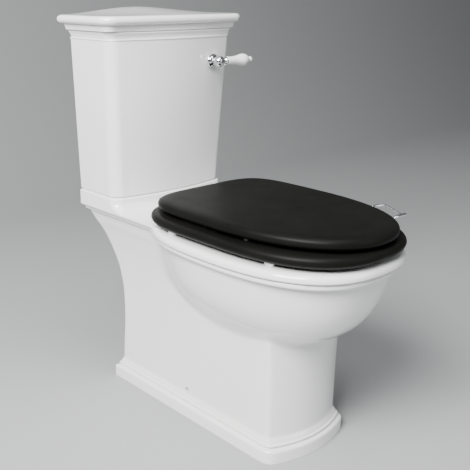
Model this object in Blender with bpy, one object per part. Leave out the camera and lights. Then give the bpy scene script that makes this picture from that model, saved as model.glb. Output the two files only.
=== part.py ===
"""Close coupled toilet: pan, cistern, seat, flush lever and the valves and fixings that make it work.

Sizes are in millimetres and become metres when a mesh is made. +Z is up, the front faces -Y and +X is the
viewer's right. The origin is on the floor, under the middle of the tie rib at the back of the pan's foot.
Depths are written as distances from the wall that the cistern backs onto, and at() turns them into Y.
"""

import math

import bmesh
import bpy
from mathutils import Vector

MM = 0.001
GAP = 0.3
WALL_Y = 82.0

# Levels
FOOT_TOP = 28.8
RIM_TOP = 400.0
SHELF_TOP = 428.0
TANK_FLOOR = 440.0
TANK_SEAM = 756.0

# Pan in plan
FOOT = dict(half=109.2, rear=69.0, front=538.3, bow=25.6, radius=22.0)
SHELF = dict(half=147.5, rear=11.0, front=290.0, bow=19.0, radius=18.0)
RIB_DEPTH = 26.0
PAN_WALL = 13.0
BOWL_CENTRE = 423.0
RIM_EXPONENT = 2.58
BOWL_EXPONENT = 2.4
REAR_SHARE = 0.95
OUTLET_LEVEL = 180.0
TRAP_BORE = 38.0
TRAP_WALL = 12.0

# Cistern in plan, at its base and just under its top bead
TANK_BASE = dict(half=144.5, rear=10.7, front=130.7, bow=19.0, radius=28.0)
TANK_TOP = dict(half=159.1, rear=16.0, front=147.1, bow=23.5, radius=28.0)
TANK_WALL = 9.0
LID_EDGE = dict(half=179.2, rear=0.0, front=166.7, bow=12.4, radius=30.0)
LID_CROWN = 798.7
CROWN_RIDGE = 0.85

# Seat
RING_POWERS = (2.6, 3.85)
RING_HALF, RING_FRONT, RING_REAR = 168.0, 259.5, 212.0
HOLE_HALF, HOLE_FRONT, HOLE_REAR = 117.0, 183.0, 112.0
COVER_POWERS = (2.23, 4.94)
COVER_HALF, COVER_FRONT, COVER_REAR = 153.6, 257.1, 189.4
HINGE_DEPTH, HINGE_LEVEL, HINGE_X = 228.0, 436.0, 77.5
PIN_RADIUS = 4.0
KNUCKLE_RADIUS = 8.0

# Flush lever
LEVER_X, LEVER_LEVEL, LEVER_DEPTH = 92.0, 691.0, 183.0

# Things that stand in the cistern
VALVE_DEPTH = 80.0
FILL_X, FILL_DEPTH = -112.0, 85.0
COUPLING_X = 76.0

# Fixings to the floor and the wall
SIDE_HOLE_DEPTH, SIDE_HOLE_LEVEL, SIDE_HOLE_RADIUS = 299.0, 51.0, 5.0
WALL_SCREW_X, WALL_SCREW_LEVEL = 95.0, 705.0


def at(distance_from_wall):
    return WALL_Y - distance_from_wall


# ---------------------------------------------------------------- materials and meshes


def material(name, colour, roughness, metallic=0.0):
    made = bpy.data.materials.new(name)
    made.use_nodes = True
    shader = made.node_tree.nodes["Principled BSDF"]
    shader.inputs["Base Color"].default_value = (*colour, 1.0)
    shader.inputs["Roughness"].default_value = roughness
    shader.inputs["Metallic"].default_value = metallic
    return made


def make(name, shape, finish, origin=(0.0, 0.0, 0.0)):
    """One named object from (points, faces) in millimetres, with its own origin."""
    points, faces = shape
    mesh = bpy.data.meshes.new(name)
    mesh.from_pydata([[(p[k] - origin[k]) * MM for k in range(3)] for p in points], [], faces)
    work = bmesh.new()
    work.from_mesh(mesh)
    bmesh.ops.remove_doubles(work, verts=work.verts, dist=1e-6)
    bmesh.ops.recalc_face_normals(work, faces=work.faces)
    work.to_mesh(mesh)
    work.free()
    mesh.materials.append(finish)
    mesh.shade_smooth()
    mesh.set_sharp_from_angle(angle=math.radians(35))
    made = bpy.data.objects.new(name, mesh)
    made.location = [o * MM for o in origin]
    bpy.context.scene.collection.objects.link(made)
    return made


def boolean(target, shape, operation):
    """Joins or cuts a shape and applies it, so that each piece ends as one plain mesh."""
    tool = make("tool", shape, target.data.materials[0])
    step = target.modifiers.new(operation.lower(), "BOOLEAN")
    step.operation = operation
    step.object = tool
    bpy.context.view_layer.update()
    graph = bpy.context.evaluated_depsgraph_get()
    old = target.data
    target.modifiers.active = step
    new = bpy.data.meshes.new_from_object(target.evaluated_get(graph), depsgraph=graph)
    target.modifiers.clear()
    target.data = new
    new.name = target.name
    bpy.data.meshes.remove(old)
    bpy.data.objects.remove(tool)
    new.set_sharp_from_angle(angle=math.radians(35))


def cut(target, *shapes):
    for shape in shapes:
        boolean(target, shape, "DIFFERENCE")


def join(target, *shapes):
    for shape in shapes:
        boolean(target, shape, "UNION")


# ---------------------------------------------------------------- shapes, each (points, faces)


def loft(rings, closed=False):
    """Skins a list of equal rings; the ends are capped, or joined to each other if closed."""
    count = len(rings[0])
    points = [p for ring in rings for p in ring]
    faces = []
    spans = len(rings) if closed else len(rings) - 1
    for i in range(spans):
        low, high = i * count, (i + 1) % len(rings) * count
        for k in range(count):
            after = (k + 1) % count
            faces.append((low + k, low + after, high + after, high + k))
    if not closed:
        faces.append(tuple(range(count))[::-1])
        faces.append(tuple(len(points) - count + k for k in range(count)))
    return points, faces


def box(low, high):
    corners = [(low[0], low[1]), (high[0], low[1]), (high[0], high[1]), (low[0], high[1])]
    return loft([[(x, y, z) for x, y in corners] for z in (low[2], high[2])])


def turned(profile, centre, axis="Z", sides=20, hollow=False):
    """Turns (radius, height) points about an axis through centre. A hollow profile is a closed loop."""
    rings = []
    for radius, height in profile:
        ring = []
        for k in range(sides):
            angle = 2 * math.pi * k / sides
            u, v = max(radius, 1e-4) * math.cos(angle), max(radius, 1e-4) * math.sin(angle)
            spot = {"X": (height, u, v), "Y": (v, height, u), "Z": (u, v, height)}[axis]
            ring.append(tuple(s + c for s, c in zip(spot, centre)))
        rings.append(ring)
    return loft(rings, closed=hollow)


def rod(radius, low, high, centre, axis="Z", sides=20):
    return turned([(radius, low), (radius, high)], centre, axis, sides)


def washer(outer, inner, low, high, centre, axis="Z", sides=20):
    loop = [(outer, low), (outer, high), (inner, high), (inner, low)]
    return turned(loop, centre, axis, sides, hollow=True)


def tube(path, radius, sides=8):
    """A round bar along a list of points."""
    points = [Vector(p) for p in path]
    rings = []
    side = Vector((0, 0, 1))
    for i, point in enumerate(points):
        along = (points[min(i + 1, len(points) - 1)] - points[max(i - 1, 0)]).normalized()
        side = (side - along * side.dot(along)).normalized()
        if side.length < 0.5:
            side = along.orthogonal().normalized()
        across = along.cross(side)
        angles = [2 * math.pi * k / sides for k in range(sides)]
        rings.append([tuple(point + radius * (side * math.cos(a) + across * math.sin(a))) for a in angles])
    return loft(rings)


def smooth_path(points, steps):
    """Catmull-Rom curve through the given points."""
    spots = [Vector(p) for p in points]
    spots = [2 * spots[0] - spots[1], *spots, 2 * spots[-1] - spots[-2]]
    path = []
    for i in range(1, len(spots) - 2):
        a, b, c, d = spots[i - 1 : i + 3]
        for k in range(steps):
            t = k / steps
            path.append(
                0.5 * (2 * b + (c - a) * t + (2 * a - 5 * b + 4 * c - d) * t**2 + (3 * b - a - 3 * c + d) * t**3)
            )
    path.append(spots[-2])
    return path


def rounded(corners, radii, steps):
    """A polygon whose corners become arcs of the given radii; a radius of 0 leaves a corner as it is."""
    outline = []
    for i, radius in enumerate(radii):
        corner = Vector(corners[i])
        if radius <= 0:
            outline.append(tuple(corner))
            continue
        before = (Vector(corners[i - 1]) - corner).normalized()
        after = (Vector(corners[(i + 1) % len(corners)]) - corner).normalized()
        half_angle = before.angle(after) / 2
        centre = corner + (before + after).normalized() * radius / math.sin(half_angle)
        start = corner + before * radius / math.tan(half_angle) - centre
        turn = start.angle_signed(corner + after * radius / math.tan(half_angle) - centre)
        for k in range(steps + 1):
            angle = -turn * k / steps
            cosine, sine = math.cos(angle), math.sin(angle)
            spot = (start.x * cosine - start.y * sine, start.x * sine + start.y * cosine)
            outline.append((centre.x + spot[0], centre.y + spot[1]))
    return outline


def bowed(level, half, rear, front, bow, radius, inset=0.0, spans=6, steps=3):
    """A level ring: a rectangle in plan with a bowed front and rounded front corners, inset all round."""
    half, rear, front, radius = half - inset, rear + inset, front - inset, max(radius - inset, 2.0)
    corners = [(half, at(rear)), (-half, at(rear)), (-half, at(front))]
    for k in range(1, spans):
        x = half * (2 * k / spans - 1)
        corners.append((x, at(front + bow * (1 - (x / half) ** 2))))
    corners.append((half, at(front)))
    radii = [2.5, 2.5, radius] + [0] * (spans - 1) + [radius]
    return [(x, y, level) for x, y in rounded(corners, radii, steps)]


def oval(level, half, front, rear, exponents, centre=BOWL_CENTRE, sides=36):
    """A level superellipse ring, with its own reach and exponent in front of and behind its centre."""
    ring = []
    for k in range(sides):
        angle = 2 * math.pi * k / sides
        cosine, sine = math.cos(angle), math.sin(angle)
        reach, power = (rear, 2 / exponents[1]) if sine > 0 else (front, 2 / exponents[0])
        x = half * math.copysign(abs(cosine) ** power, cosine)
        y = reach * math.copysign(abs(sine) ** power, sine)
        ring.append((x, at(centre) + y, level))
    return ring


def between(low, high, share):
    return {key: low[key] + (high[key] - low[key]) * share for key in low}


def hexagon(across_flats, low, high, centre, axis="Z"):
    return rod(across_flats / math.sqrt(3), low, high, centre, axis, sides=6)


# ---------------------------------------------------------------- pan


def pedestal_sections():
    """(level, half width, rear, front) of the pedestal, above the foot mouldings."""
    return [
        (137.0, 95.5, 91.0, 524.0),
        (205.0, 98.5, 93.0, 525.0),
        (257.0, 103.0, 88.0, 520.0),
        (300.0, 110.0, 75.0, 480.0),
        (347.0, 122.0, 53.0, 420.0),
        (361.0, 128.0, 40.0, 390.0),
        (382.0, 133.0, 27.0, 360.0),
    ]


def pan_pedestal():
    mouldings = [(0, 0), (23, 0), (27, 1.5), (28.8, 5.9), (33, 6.6), (39, 10.0), (46, 14.4)]
    rings = [bowed(level, **FOOT, inset=inset) for level, inset in mouldings]
    for level, half, rear, front in pedestal_sections():
        rings.append(bowed(level, half, rear, front, FOOT["bow"], 9.0))
    return loft(rings)


def pan_hollow():
    """The space inside the pedestal, open below and, above the tie rib, open to the wall."""
    past_wall = -40.0
    low = dict(half=94.0, rear=FOOT["rear"] + RIB_DEPTH, front=524.0, bow=22.0, radius=9.0)
    rings = [bowed(level, **low) for level in (-5.0, 20.0)]
    rings.append(bowed(20.5, 94.0, past_wall, 524.0, 22.0, 9.0))
    rings.append(bowed(46.0, 82.0, past_wall, 511.0, 22.0, 6.0))
    for level, half, _, front in pedestal_sections()[:-1]:
        rings.append(bowed(level, half - PAN_WALL, past_wall, front - PAN_WALL, 18.0, 6.0))
    rings.append(bowed(382.0, 120.0, past_wall, 190.0, 8.0, 6.0))
    rings.append(bowed(404.0, 122.0, past_wall, 140.0, 8.0, 6.0))
    return loft(rings)


def pan_bowl():
    """Outside of the bowl and its rolled rim, from below."""
    sections = [
        (196.0, 49.0, 92.0), (203.0, 64.0, 100.0), (212.0, 74.0, 109.0), (222.0, 86.0, 132.0),
        (235.0, 99.0, 156.5), (250.0, 114.5, 179.0), (265.0, 127.5, 196.0), (280.0, 137.0, 208.0),
        (295.0, 144.5, 217.0), (310.0, 150.0, 224.0), (325.0, 154.0, 229.0), (345.0, 158.0, 234.5),
        (366.0, 161.5, 238.5), (370.0, 165.0, 243.5), (373.4, 170.3, 251.5), (381.5, 171.5, 252.7),
        (383.0, 173.3, 254.5), (387.0, 176.8, 258.0), (394.0, 175.4, 256.6), (398.5, 171.0, 252.2),
        (RIM_TOP, 163.0, 244.2),
    ]  # fmt: skip
    rings = []
    for level, half, front in sections:
        exponent = BOWL_EXPONENT if level < 371 else RIM_EXPONENT
        rings.append(oval(level, half, front, front * REAR_SHARE, (exponent, exponent)))
    return loft(rings)


def pan_basin():
    """Inside of the bowl: the opening inside the rim, the wider space under it and the well."""
    sections = [
        (200.0, 38.0, 38.0, 42.0, 445.0), (212.0, 52.0, 60.0, 58.0, 445.0), (232.0, 73.0, 96.0, 82.0, 445.0),
        (262.0, 99.0, 136.0, 104.0, 443.0), (300.0, 122.0, 172.0, 134.0, 432.0),
        (350.0, 138.0, 204.0, 165.0, BOWL_CENTRE), (371.0, 138.0, 204.0, 165.0, BOWL_CENTRE),
        (377.0, 126.0, 190.0, 152.0, BOWL_CENTRE), (410.0, 123.0, 187.0, 149.0, BOWL_CENTRE),
    ]  # fmt: skip
    return loft([oval(z, half, front, rear, (2.3, 2.3), centre) for z, half, front, rear, centre in sections])


def pan_shelf():
    """The shelf that the cistern stands on, with its mouldings and the ramp down to the rim."""
    edge = [(382.0, 14.6), (385.0, 9.0), (391.0, 7.0), (393.0, 3.4), (397.0, 0.0), (RIM_TOP, 0.0)]
    rings = [bowed(level, **SHELF, inset=inset, spans=6) for level, inset in edge]
    ramp = [(400.2, 170.0, 6.0), (402.0, 157.0, 11.0), (405.0, 147.5, 17.0), (409.0, 141.0, 22.0)]
    for level, front, radius in [*ramp, (414.0, 137.0, 25.0), (426.0, 135.0, 26.0)]:
        rings.append(bowed(level, SHELF["half"], SHELF["rear"], front, SHELF["bow"], radius))
    rings.append(bowed(SHELF_TOP, 145.5, 13.0, 133.2, SHELF["bow"], 25.0))
    return loft(rings)


def trap_route():
    """Centre line of the water way, as (distance from the wall, level)."""
    bends = [
        (442, 225), (433, 180), (408, 152), (370, 142), (332, 153), (305, 186),
        (285, 220), (255, 240), (222, 228), (195, 201), (165, 184), (130, OUTLET_LEVEL), (95, OUTLET_LEVEL),
    ]  # fmt: skip
    return smooth_path([(0, at(d), z) for d, z in bends], 2)


def make_pan(ceramic):
    pan = make("pan", pan_pedestal(), ceramic)
    cut(pan, pan_hollow())
    join(pan, pan_bowl(), pan_shelf())
    route = trap_route()
    spigot_end = Vector((0, at(62.0), OUTLET_LEVEL))
    past_end = Vector((0, at(40.0), OUTLET_LEVEL))
    join(
        pan,
        tube([*route, spigot_end], TRAP_BORE + TRAP_WALL, sides=12),
        box((-58, at(292), 354), (58, at(26), 399)),
    )
    cut(pan, pan_basin(), tube([*route, past_end], TRAP_BORE, sides=12))
    flush_way = box((-28, at(285), 366), (28, at(52), 388))
    inlet = turned([(28, 380), (28, 404), (46, 404.2), (46, 440)], (0, at(VALVE_DEPTH), 0), sides=24)
    cut(pan, flush_way, inlet)
    for side in (-1, 1):
        pocket = rod(22, 236, 378, (side * HINGE_X, at(HINGE_DEPTH), 0), sides=12)
        hinge_hole = rod(7, 370, 410, (side * HINGE_X, at(HINGE_DEPTH), 0), sides=12)
        bolt_hole = rod(6, 395, 440, (side * COUPLING_X, at(VALVE_DEPTH), 0), sides=12)
        side_hole = rod(SIDE_HOLE_RADIUS, -30, 30, (side * 95, at(SIDE_HOLE_DEPTH), SIDE_HOLE_LEVEL), "X", 12)
        low, high = sorted((side * 60, side * 126))
        under_shelf = box((low, at(150), 370), (high, at(-40), 404))
        cut(pan, pocket, hinge_hole, under_shelf, bolt_hole, side_hole)
    cut(pan, rod(17, 395, 440, (FILL_X, at(FILL_DEPTH), 0), sides=14))
    return pan


# ---------------------------------------------------------------- cistern


def tank_outline(level, inset=0.0):
    base_level, top_level = 432.0, 740.0
    share = (level - base_level) / (top_level - base_level)
    return bowed(level, **between(TANK_BASE, TANK_TOP, share), inset=inset)


def seam_outline(level, inset=0.0):
    return bowed(level, 164.3, 14.0, 151.5, 21.5, 27.0, inset=inset)


def make_tank(ceramic):
    bottom = SHELF_TOP + GAP
    rings = [tank_outline(bottom, 3.0), tank_outline(432.0), tank_outline(580.0), tank_outline(736.0)]
    rings += [tank_outline(738.0, -1.8), tank_outline(741.5, -1.8), tank_outline(743.0, -0.2)]
    rings += [seam_outline(749.0, 3.4), seam_outline(753.5, 0.9), seam_outline(TANK_SEAM - GAP)]
    tank = make("cistern_tank", loft(rings), ceramic)
    inside = [tank_outline(TANK_FLOOR, TANK_WALL + 4), tank_outline(446.0, TANK_WALL)]
    inside += [tank_outline(740.0, TANK_WALL), tank_outline(770.0, TANK_WALL)]
    cut(tank, loft(inside))
    cut(tank, rod(31, 420, 450, (0, at(VALVE_DEPTH), 0), sides=24))
    cut(tank, rod(11, 420, 450, (FILL_X, at(FILL_DEPTH), 0), sides=14))
    cut(tank, rod(7, -190, -130, (LEVER_X, WALL_Y, LEVER_LEVEL), "Y", 14))
    for side in (-1, 1):
        cut(tank, rod(6, 420, 450, (side * COUPLING_X, at(VALVE_DEPTH), 0), sides=12))
        cut(tank, rod(3.5, -40, 0, (side * WALL_SCREW_X, WALL_Y, WALL_SCREW_LEVEL), "Y", 12))
    return tank


def crown_level(x, y, edge_level):
    """Height of the domed top at a point in plan: it rises to a ridge near the back."""
    across = abs(x) / LID_EDGE["half"]
    front = at(LID_EDGE["front"] + LID_EDGE["bow"] * (1 - across**2))
    along = (y - front) / (at(LID_EDGE["rear"]) - front)
    if along < CROWN_RIDGE:
        fall = max(1 - along / CROWN_RIDGE, 0) ** 1.15
    else:
        fall = min((along - CROWN_RIDGE) / (1 - CROWN_RIDGE), 1) ** 3
    return edge_level + (LID_CROWN - edge_level) * max(1 - across**1.75, 0) ** 1.5 * (1 - fall)


def scaled_ring(ring, share, edge_level):
    centre_y = at(LID_EDGE["front"] * (1 - CROWN_RIDGE))
    made = []
    for x, y, _ in ring:
        x, y = x * share, centre_y + (y - centre_y) * share
        made.append((x, y, crown_level(x, y, edge_level)))
    return made


def make_cistern_lid(ceramic):
    rings = [seam_outline(TANK_SEAM), seam_outline(758.5, -2.6)]
    profile = [(764.0, 9.6), (769.0, 8.0), (770.6, 4.4), (773.0, 1.0), (777.0, 0.0), (781.0, 1.0), (784.0, 4.0)]
    rings += [bowed(level, **LID_EDGE, inset=inset) for level, inset in profile]
    edge = bowed(785.5, **LID_EDGE, inset=9.0)
    rings += [edge] + [scaled_ring(edge, share, 785.5) for share in (0.88, 0.7, 0.5, 0.3, 0.1)]
    lid = make("cistern_lid", loft(rings), ceramic)
    hollow = [bowed(level, 146.0, 32.0, 136.0, 20.0, 12.0) for level in (750.0, 772.0)]
    hollow.append(bowed(781.0, 136.0, 42.0, 126.0, 20.0, 8.0))
    cut(lid, loft(hollow))
    locating_lip = [bowed(level, 145.0, 31.5, 135.0, 20.0, 12.0) for level in (745.0, 758.0)]
    inner_lip = [bowed(level, 139.0, 37.5, 129.0, 20.0, 8.0) for level in (740.0, 760.0)]
    lip = make("lip", loft(locating_lip), ceramic)
    cut(lip, loft(inner_lip))
    join(lid, taken(lip))
    return lid


def taken(thing):
    """The (points, faces) of an object, in millimetres, and the object removed."""
    points = [tuple(thing.matrix_world @ v.co / MM) for v in thing.data.vertices]
    faces = [tuple(p.vertices) for p in thing.data.polygons]
    bpy.data.objects.remove(thing)
    return points, faces


# ---------------------------------------------------------------- seat


def ring_section(k, sides):
    """The seat ring's cross-section at one place round it, from the outline outside to the hole."""
    outside = oval(0, RING_HALF, RING_FRONT, RING_REAR, RING_POWERS, sides=sides)[k]
    inside = oval(0, HOLE_HALF, HOLE_FRONT, HOLE_REAR, (2.2, 2.2), sides=sides)[k]
    span = Vector((inside[0] - outside[0], inside[1] - outside[1]))
    width, inward = span.length, span.normalized()
    profile = [(8.0, 406.5), (2.2, 409.3), (0.0, 415.0), (0.6, 421.0), (4.0, 426.1), (11.0, 428.5)]
    profile += [(width * 0.6, 427.5), (width - 7.0, 424.0), (width - 1.2, 419.5), (width, 414.0)]
    profile += [(width - 2.6, 408.1), (width - 8.0, 406.5)]
    return [(outside[0] + inward.x * d, outside[1] + inward.y * d, z) for d, z in profile]


def make_seat_ring(plastic):
    sides = 36
    origin = (0, at(HINGE_DEPTH), HINGE_LEVEL)
    sections = [ring_section(k, sides) for k in range(sides)]
    ring = make("seat_ring", loft(sections, closed=True), plastic, origin)
    for side in (-1, 1):
        low, high = sorted((side * 51, side * 105))
        cut(ring, box((low, at(254), 400), (high, at(190), 432)))
    cut(ring, tube(handle_path(), 2.6 + GAP))
    for side in (-1, 1):
        low, high = sorted((side * 87.2, side * 100))
        arm = [(-30.0, -29.0), (-30.0, -10.0), (-9.0, 6.0), (0.0, 8.0), (6.0, 5.3), (8.0, 0.0), (5.0, -6.5)]
        arm = [(at(HINGE_DEPTH) + y, HINGE_LEVEL + z) for y, z in arm]
        join(ring, loft([[(x, y, z) for y, z in arm] for x in (low, high)]))
        cut(ring, rod(PIN_RADIUS + GAP, -20, 20, (side * 93.6, at(HINGE_DEPTH), HINGE_LEVEL), "X", 14))
    return ring


def make_seat_lid(plastic):
    origin = (0, at(HINGE_DEPTH), HINGE_LEVEL)

    def outline(level, inset):
        return oval(level, COVER_HALF - inset, COVER_FRONT - inset, COVER_REAR - inset, COVER_POWERS, sides=44)

    profile = [(435.0, 7.0), (436.6, 2.6), (440.0, 0.4), (444.5, 0.0), (449.5, 1.6), (453.5, 6.0), (455.3, 14.0)]
    rings = [outline(level, inset) for level, inset in profile]
    rings += [outline(456.6, 60.0), outline(457.5, 120.0)]
    lid = make("seat_lid", loft(rings), plastic, origin)
    cut(lid, loft([outline(430.0, 20.0), outline(443.0, 21.0), outline(447.0, 27.0)]))
    for side in (-1, 1):
        low, high = sorted((side * 68.6, side * 102.0))
        cut(lid, box((low, at(248), 430), (high, at(200), 446.5)))
        low, high = sorted((side * 55, side * 68))
        lug = [(-30.0, 13.0), (-20.0, 3.0), (-6.5, -4.7), (0.0, -8.0), (6.0, -5.3), (8.0, 0.0), (5.3, 6.0)]
        lug += [(-3.0, 9.4), (-10.0, 13.0)]
        lug = [(at(HINGE_DEPTH) + y, HINGE_LEVEL + z) for y, z in lug]
        join(lid, loft([[(x, y, z) for y, z in lug] for x in (low, high)]))
        low, high = sorted((side * 57.5, side * 80))
        cut(lid, rod(PIN_RADIUS + GAP, low, high, (0, at(HINGE_DEPTH), HINGE_LEVEL), "X", 14))
    return lid


def make_hinges(chrome, steel, rubber, white):
    for side, word in ((-1, "left"), (1, "right")):
        x, y = side * HINGE_X, at(HINGE_DEPTH)
        top = HINGE_LEVEL + 7.0
        profile = [(9, 400.3), (20, 400.3), (20, 402.5), (16, 404.6), (8.2, 407.5), (7.0, 412), (7.0, top - 3), (4.5, top)]
        post = make("hinge_post_" + word, turned(profile, (x, y, 0), sides=20), chrome)
        cut(post, rod(PIN_RADIUS, -20, 20, (x, y, HINGE_LEVEL), "X", 14))
        cut(post, rod(3.3, 395, 424, (x, y, 0), sides=10))
        pin_low, pin_high = sorted((side * 58, side * 101))
        pin = rod(PIN_RADIUS - GAP, pin_low, pin_high, (0, y, HINGE_LEVEL), "X", 14)
        make("hinge_pin_" + word, pin, steel)
        make("seat_bolt_" + word, rod(3.0, 340, 423, (x, y, 0), sides=10), steel)
        make("seat_bolt_washer_" + word, washer(15, 3.3, 374.2, 377.7, (x, y, 0), sides=16), rubber)
        make("seat_wing_nut_" + word, wing_nut(x, y, 358, 373.9, 3.3, 7.5, 16), white)


def wing_nut(x, y, low, high, hole, hub, reach):
    """A nut with two wings along Y, for use by hand."""
    nut = make("nut", rod(hub, low, high, (x, y, 0), sides=12), bpy.data.materials[0])
    join(nut, box((x - 2.5, y - reach, low - 4), (x + 2.5, y + reach, high - 5)))
    cut(nut, rod(hole, low - 10, high + 10, (x, y, 0), sides=10))
    return taken(nut)


def make_buffers(white, rubber):
    spots = {
        "front_left": (-139.0, 556.0), "front_right": (139.0, 556.0),
        "rear_left": (-150.0, 322.0), "rear_right": (150.0, 322.0),
    }  # fmt: skip
    for word, (x, depth) in spots.items():
        half = 9.0
        pad = [(x - 5, at(depth) - half), (x + 5, at(depth) - half), (x + 5, at(depth) + half), (x - 5, at(depth) + half)]
        pad = rounded(pad, [4.5] * 4, 2)
        make("seat_buffer_" + word, loft([[(u, v, z) for u, v in pad] for z in (RIM_TOP + GAP, 406.2)]), white)
    for side, word in ((-1, "left"), (1, "right")):
        profile = [(5.5, 434.7), (5.5, 431.0), (4.3, 428.6)]
        spot = (side * 135.3, at(500.0), 0)
        make("lid_buffer_" + word, turned(profile, spot, sides=12), rubber)


def handle_path():
    path = [
        (156, 492, 415), (182, 499, 416), (191, 504, 423), (201, 508, 429), (213, 513, 430.5), (221, 516, 430.5),
        (224.5, 519, 430.5), (224, 523, 430.5), (208, 550, 430.5), (192, 577, 430.5),
        (189, 581, 430.5), (185, 582, 430.5), (178, 580, 430), (172, 577.5, 425), (166, 574, 417), (143, 566, 415),
    ]  # fmt: skip
    return [(x, at(d), z) for x, d, z in path]


def make_handle(chrome):
    """The lifting handle on the ring's right edge: two arms and a grip bar, in one bent rod."""
    make("seat_handle", tube(handle_path(), 2.6), chrome)


# ---------------------------------------------------------------- flush lever and linkage


def make_lever(chrome, ceramic, brass, rubber, plastic):
    pivot = (LEVER_X, at(LEVER_DEPTH), LEVER_LEVEL)
    wall_face = at(161.0)
    on_axis = (LEVER_X, 0, LEVER_LEVEL)

    rose = [(5.3, wall_face - 1.2), (14.2, wall_face - 1.2), (14.2, wall_face - 4.0), (11.5, wall_face - 6.5)]
    rose += [(7.5, wall_face - 9.5), (5.3, wall_face - 9.5)]
    make("lever_rose", turned(rose, on_axis, "Y", 20, hollow=True), chrome)

    hub = [(5.0, 12.6), (6.2, 11.4), (8.6, 8.2), (11.0, 3.6), (11.5, 0.0), (11.0, -3.6), (8.6, -8.0), (4.4, -10.8)]
    hub_piece = make("lever_hub", turned(hub, pivot, "Y", 16), chrome, pivot)
    collar = [(6.5, 6.0), (7.4, 13.0), (9.2, 15.0), (9.2, 18.0), (8.0, 19.5)]
    join(hub_piece, turned(collar, pivot, "X", 16))

    grip = [(7.5, 19.8), (8.6, 21.5), (8.4, 26.0), (9.4, 38.0), (11.4, 52.0), (13.2, 62.0), (13.2, 69.0)]
    grip += [(11.2, 76.0), (8.0, 81.0), (5.2, 83.0)]
    make("lever_grip", turned(grip, pivot, "X", 16), ceramic, pivot)
    tip = [(4.6, 83.3), (5.8, 85.5), (6.0, 88.5), (4.8, 92.0), (2.4, 94.6)]
    make("lever_tip", turned(tip, pivot, "X", 14), ceramic, pivot)

    hub_rear = pivot[1] + 12.9
    spindle = rod(4.5, hub_rear, at(122.0), on_axis, "Y", 12)
    make("lever_spindle", spindle, brass, pivot)
    inner_face = at(145.0)
    make("lever_washer", washer(13, 5.2, inner_face + 0.3, inner_face + 2.5, on_axis, "Y", 16), rubber)
    nut = make("lever_backnut", hexagon(19, inner_face + 2.8, inner_face + 9.5, on_axis, "Y"), brass)
    cut(nut, rod(5.2, inner_face - 5, inner_face + 20, on_axis, "Y", 14))

    far_y = at(VALVE_DEPTH)
    blade = [(96, at(132)), (92, at(123)), (20, far_y + 8), (-10, far_y + 8), (-10, far_y - 8), (24, far_y - 8)]
    arm = make("lift_arm", loft([[(x, y, LEVER_LEVEL + z) for x, y in blade] for z in (-2, 2)]), plastic, pivot)
    join(arm, rod(9, at(134.0), at(122.4), on_axis, "Y", 16))
    cut(arm, rod(4.8, at(140.0), at(116.0), on_axis, "Y", 12))
    cut(arm, box((-4, far_y - 3, LEVER_LEVEL - 8), (9, far_y + 3, LEVER_LEVEL + 8)))


def make_flush_valve(plastic, rubber, white, brass):
    y = at(VALVE_DEPTH)
    spot = (0, y, 0)
    body = [(22, 404.6), (27.4, 404.6), (29, 407.0), (29, TANK_FLOOR + 3.4), (38, TANK_FLOOR + 3.4), (38, TANK_FLOOR + 9)]
    body += [(27, TANK_FLOOR + 12), (22, TANK_FLOOR + 12)]
    valve = make("flush_valve_body", turned(body, spot, sides=24, hollow=True), plastic)
    for k in range(4):
        angle = math.pi / 4 + k * math.pi / 2
        x, v = 30 * math.cos(angle), 30 * math.sin(angle)
        join(valve, rod(4.0, TANK_FLOOR + 6, 534, (x, y + v, 0), sides=8))
    join(valve, washer(35, 17.2, 532, 545, spot, sides=24))

    moving = [(12, 456.5), (16, 456.5), (16, 622), (17.5, 623), (17.5, 628), (12, 628)]
    make("flush_valve_tube", turned(moving, spot, sides=18, hollow=True), white)
    make("flush_valve_seal", washer(25, 12, 452.4, 456.2, spot, sides=20), rubber)

    link = make("lift_link", rod(1.8, 628.3, 698, (6, y, 0), sides=8), brass)
    join(link, turned([(2, 693.6), (6, 694.4), (6, 699), (3, 702)], (6, y, 0), sides=10))
    join(link, turned([(17, 628.3), (17, 631.5)], spot, sides=12))
    cut(link, turned([(11.5, 620), (11.5, 640)], (-9, y, 0), sides=10))

    make("flush_valve_washer", washer(38, 29.3, TANK_FLOOR + 0.3, TANK_FLOOR + 3.1, spot, sides=24), rubber)
    nut = washer(37, 29.3, 411.5, SHELF_TOP - 0.2, spot, sides=24)
    make("flush_valve_backnut", nut, plastic)
    make("coupling_doughnut", washer(44, 29.3, 404.5, 411.2, spot, sides=24), rubber)


def make_fill_valve(plastic, white, rubber):
    x, y = FILL_X, at(FILL_DEPTH)
    spot = (x, y, 0)
    body = [(3.5, 372), (9.5, 372), (9.5, TANK_FLOOR + 3.3), (17, TANK_FLOOR + 3.3), (17, TANK_FLOOR + 10), (12, TANK_FLOOR + 14)]
    body += [(12, 640), (3.5, 640)]
    valve = make("fill_valve_body", turned(body, spot, sides=16, hollow=True), plastic)
    join(valve, washer(15, 8, 533, 537, spot, sides=16))
    cap = [(3.0, 640.4), (19, 640.4), (21, 644), (21, 658), (17, 664), (6, 666), (3.0, 666)]
    make("fill_valve_cap", turned(cap, spot, sides=16, hollow=True), white)
    float_profile = [(16, 537.6), (24, 537.6), (25, 540), (25, 596), (23, 599), (16, 599), (12.8, 597), (12.8, 539.6)]
    make("fill_valve_float", turned(float_profile, spot, sides=18, hollow=True), white)
    make("fill_valve_washer", washer(16, 9.8, TANK_FLOOR + 0.3, TANK_FLOOR + 3.0, spot, sides=16), rubber)
    nut = make("fill_valve_backnut", hexagon(27, 414.0, SHELF_TOP - 0.2, spot), plastic)
    cut(nut, rod(9.8, 400, 440, spot, sides=14))


# ---------------------------------------------------------------- fixings


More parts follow.
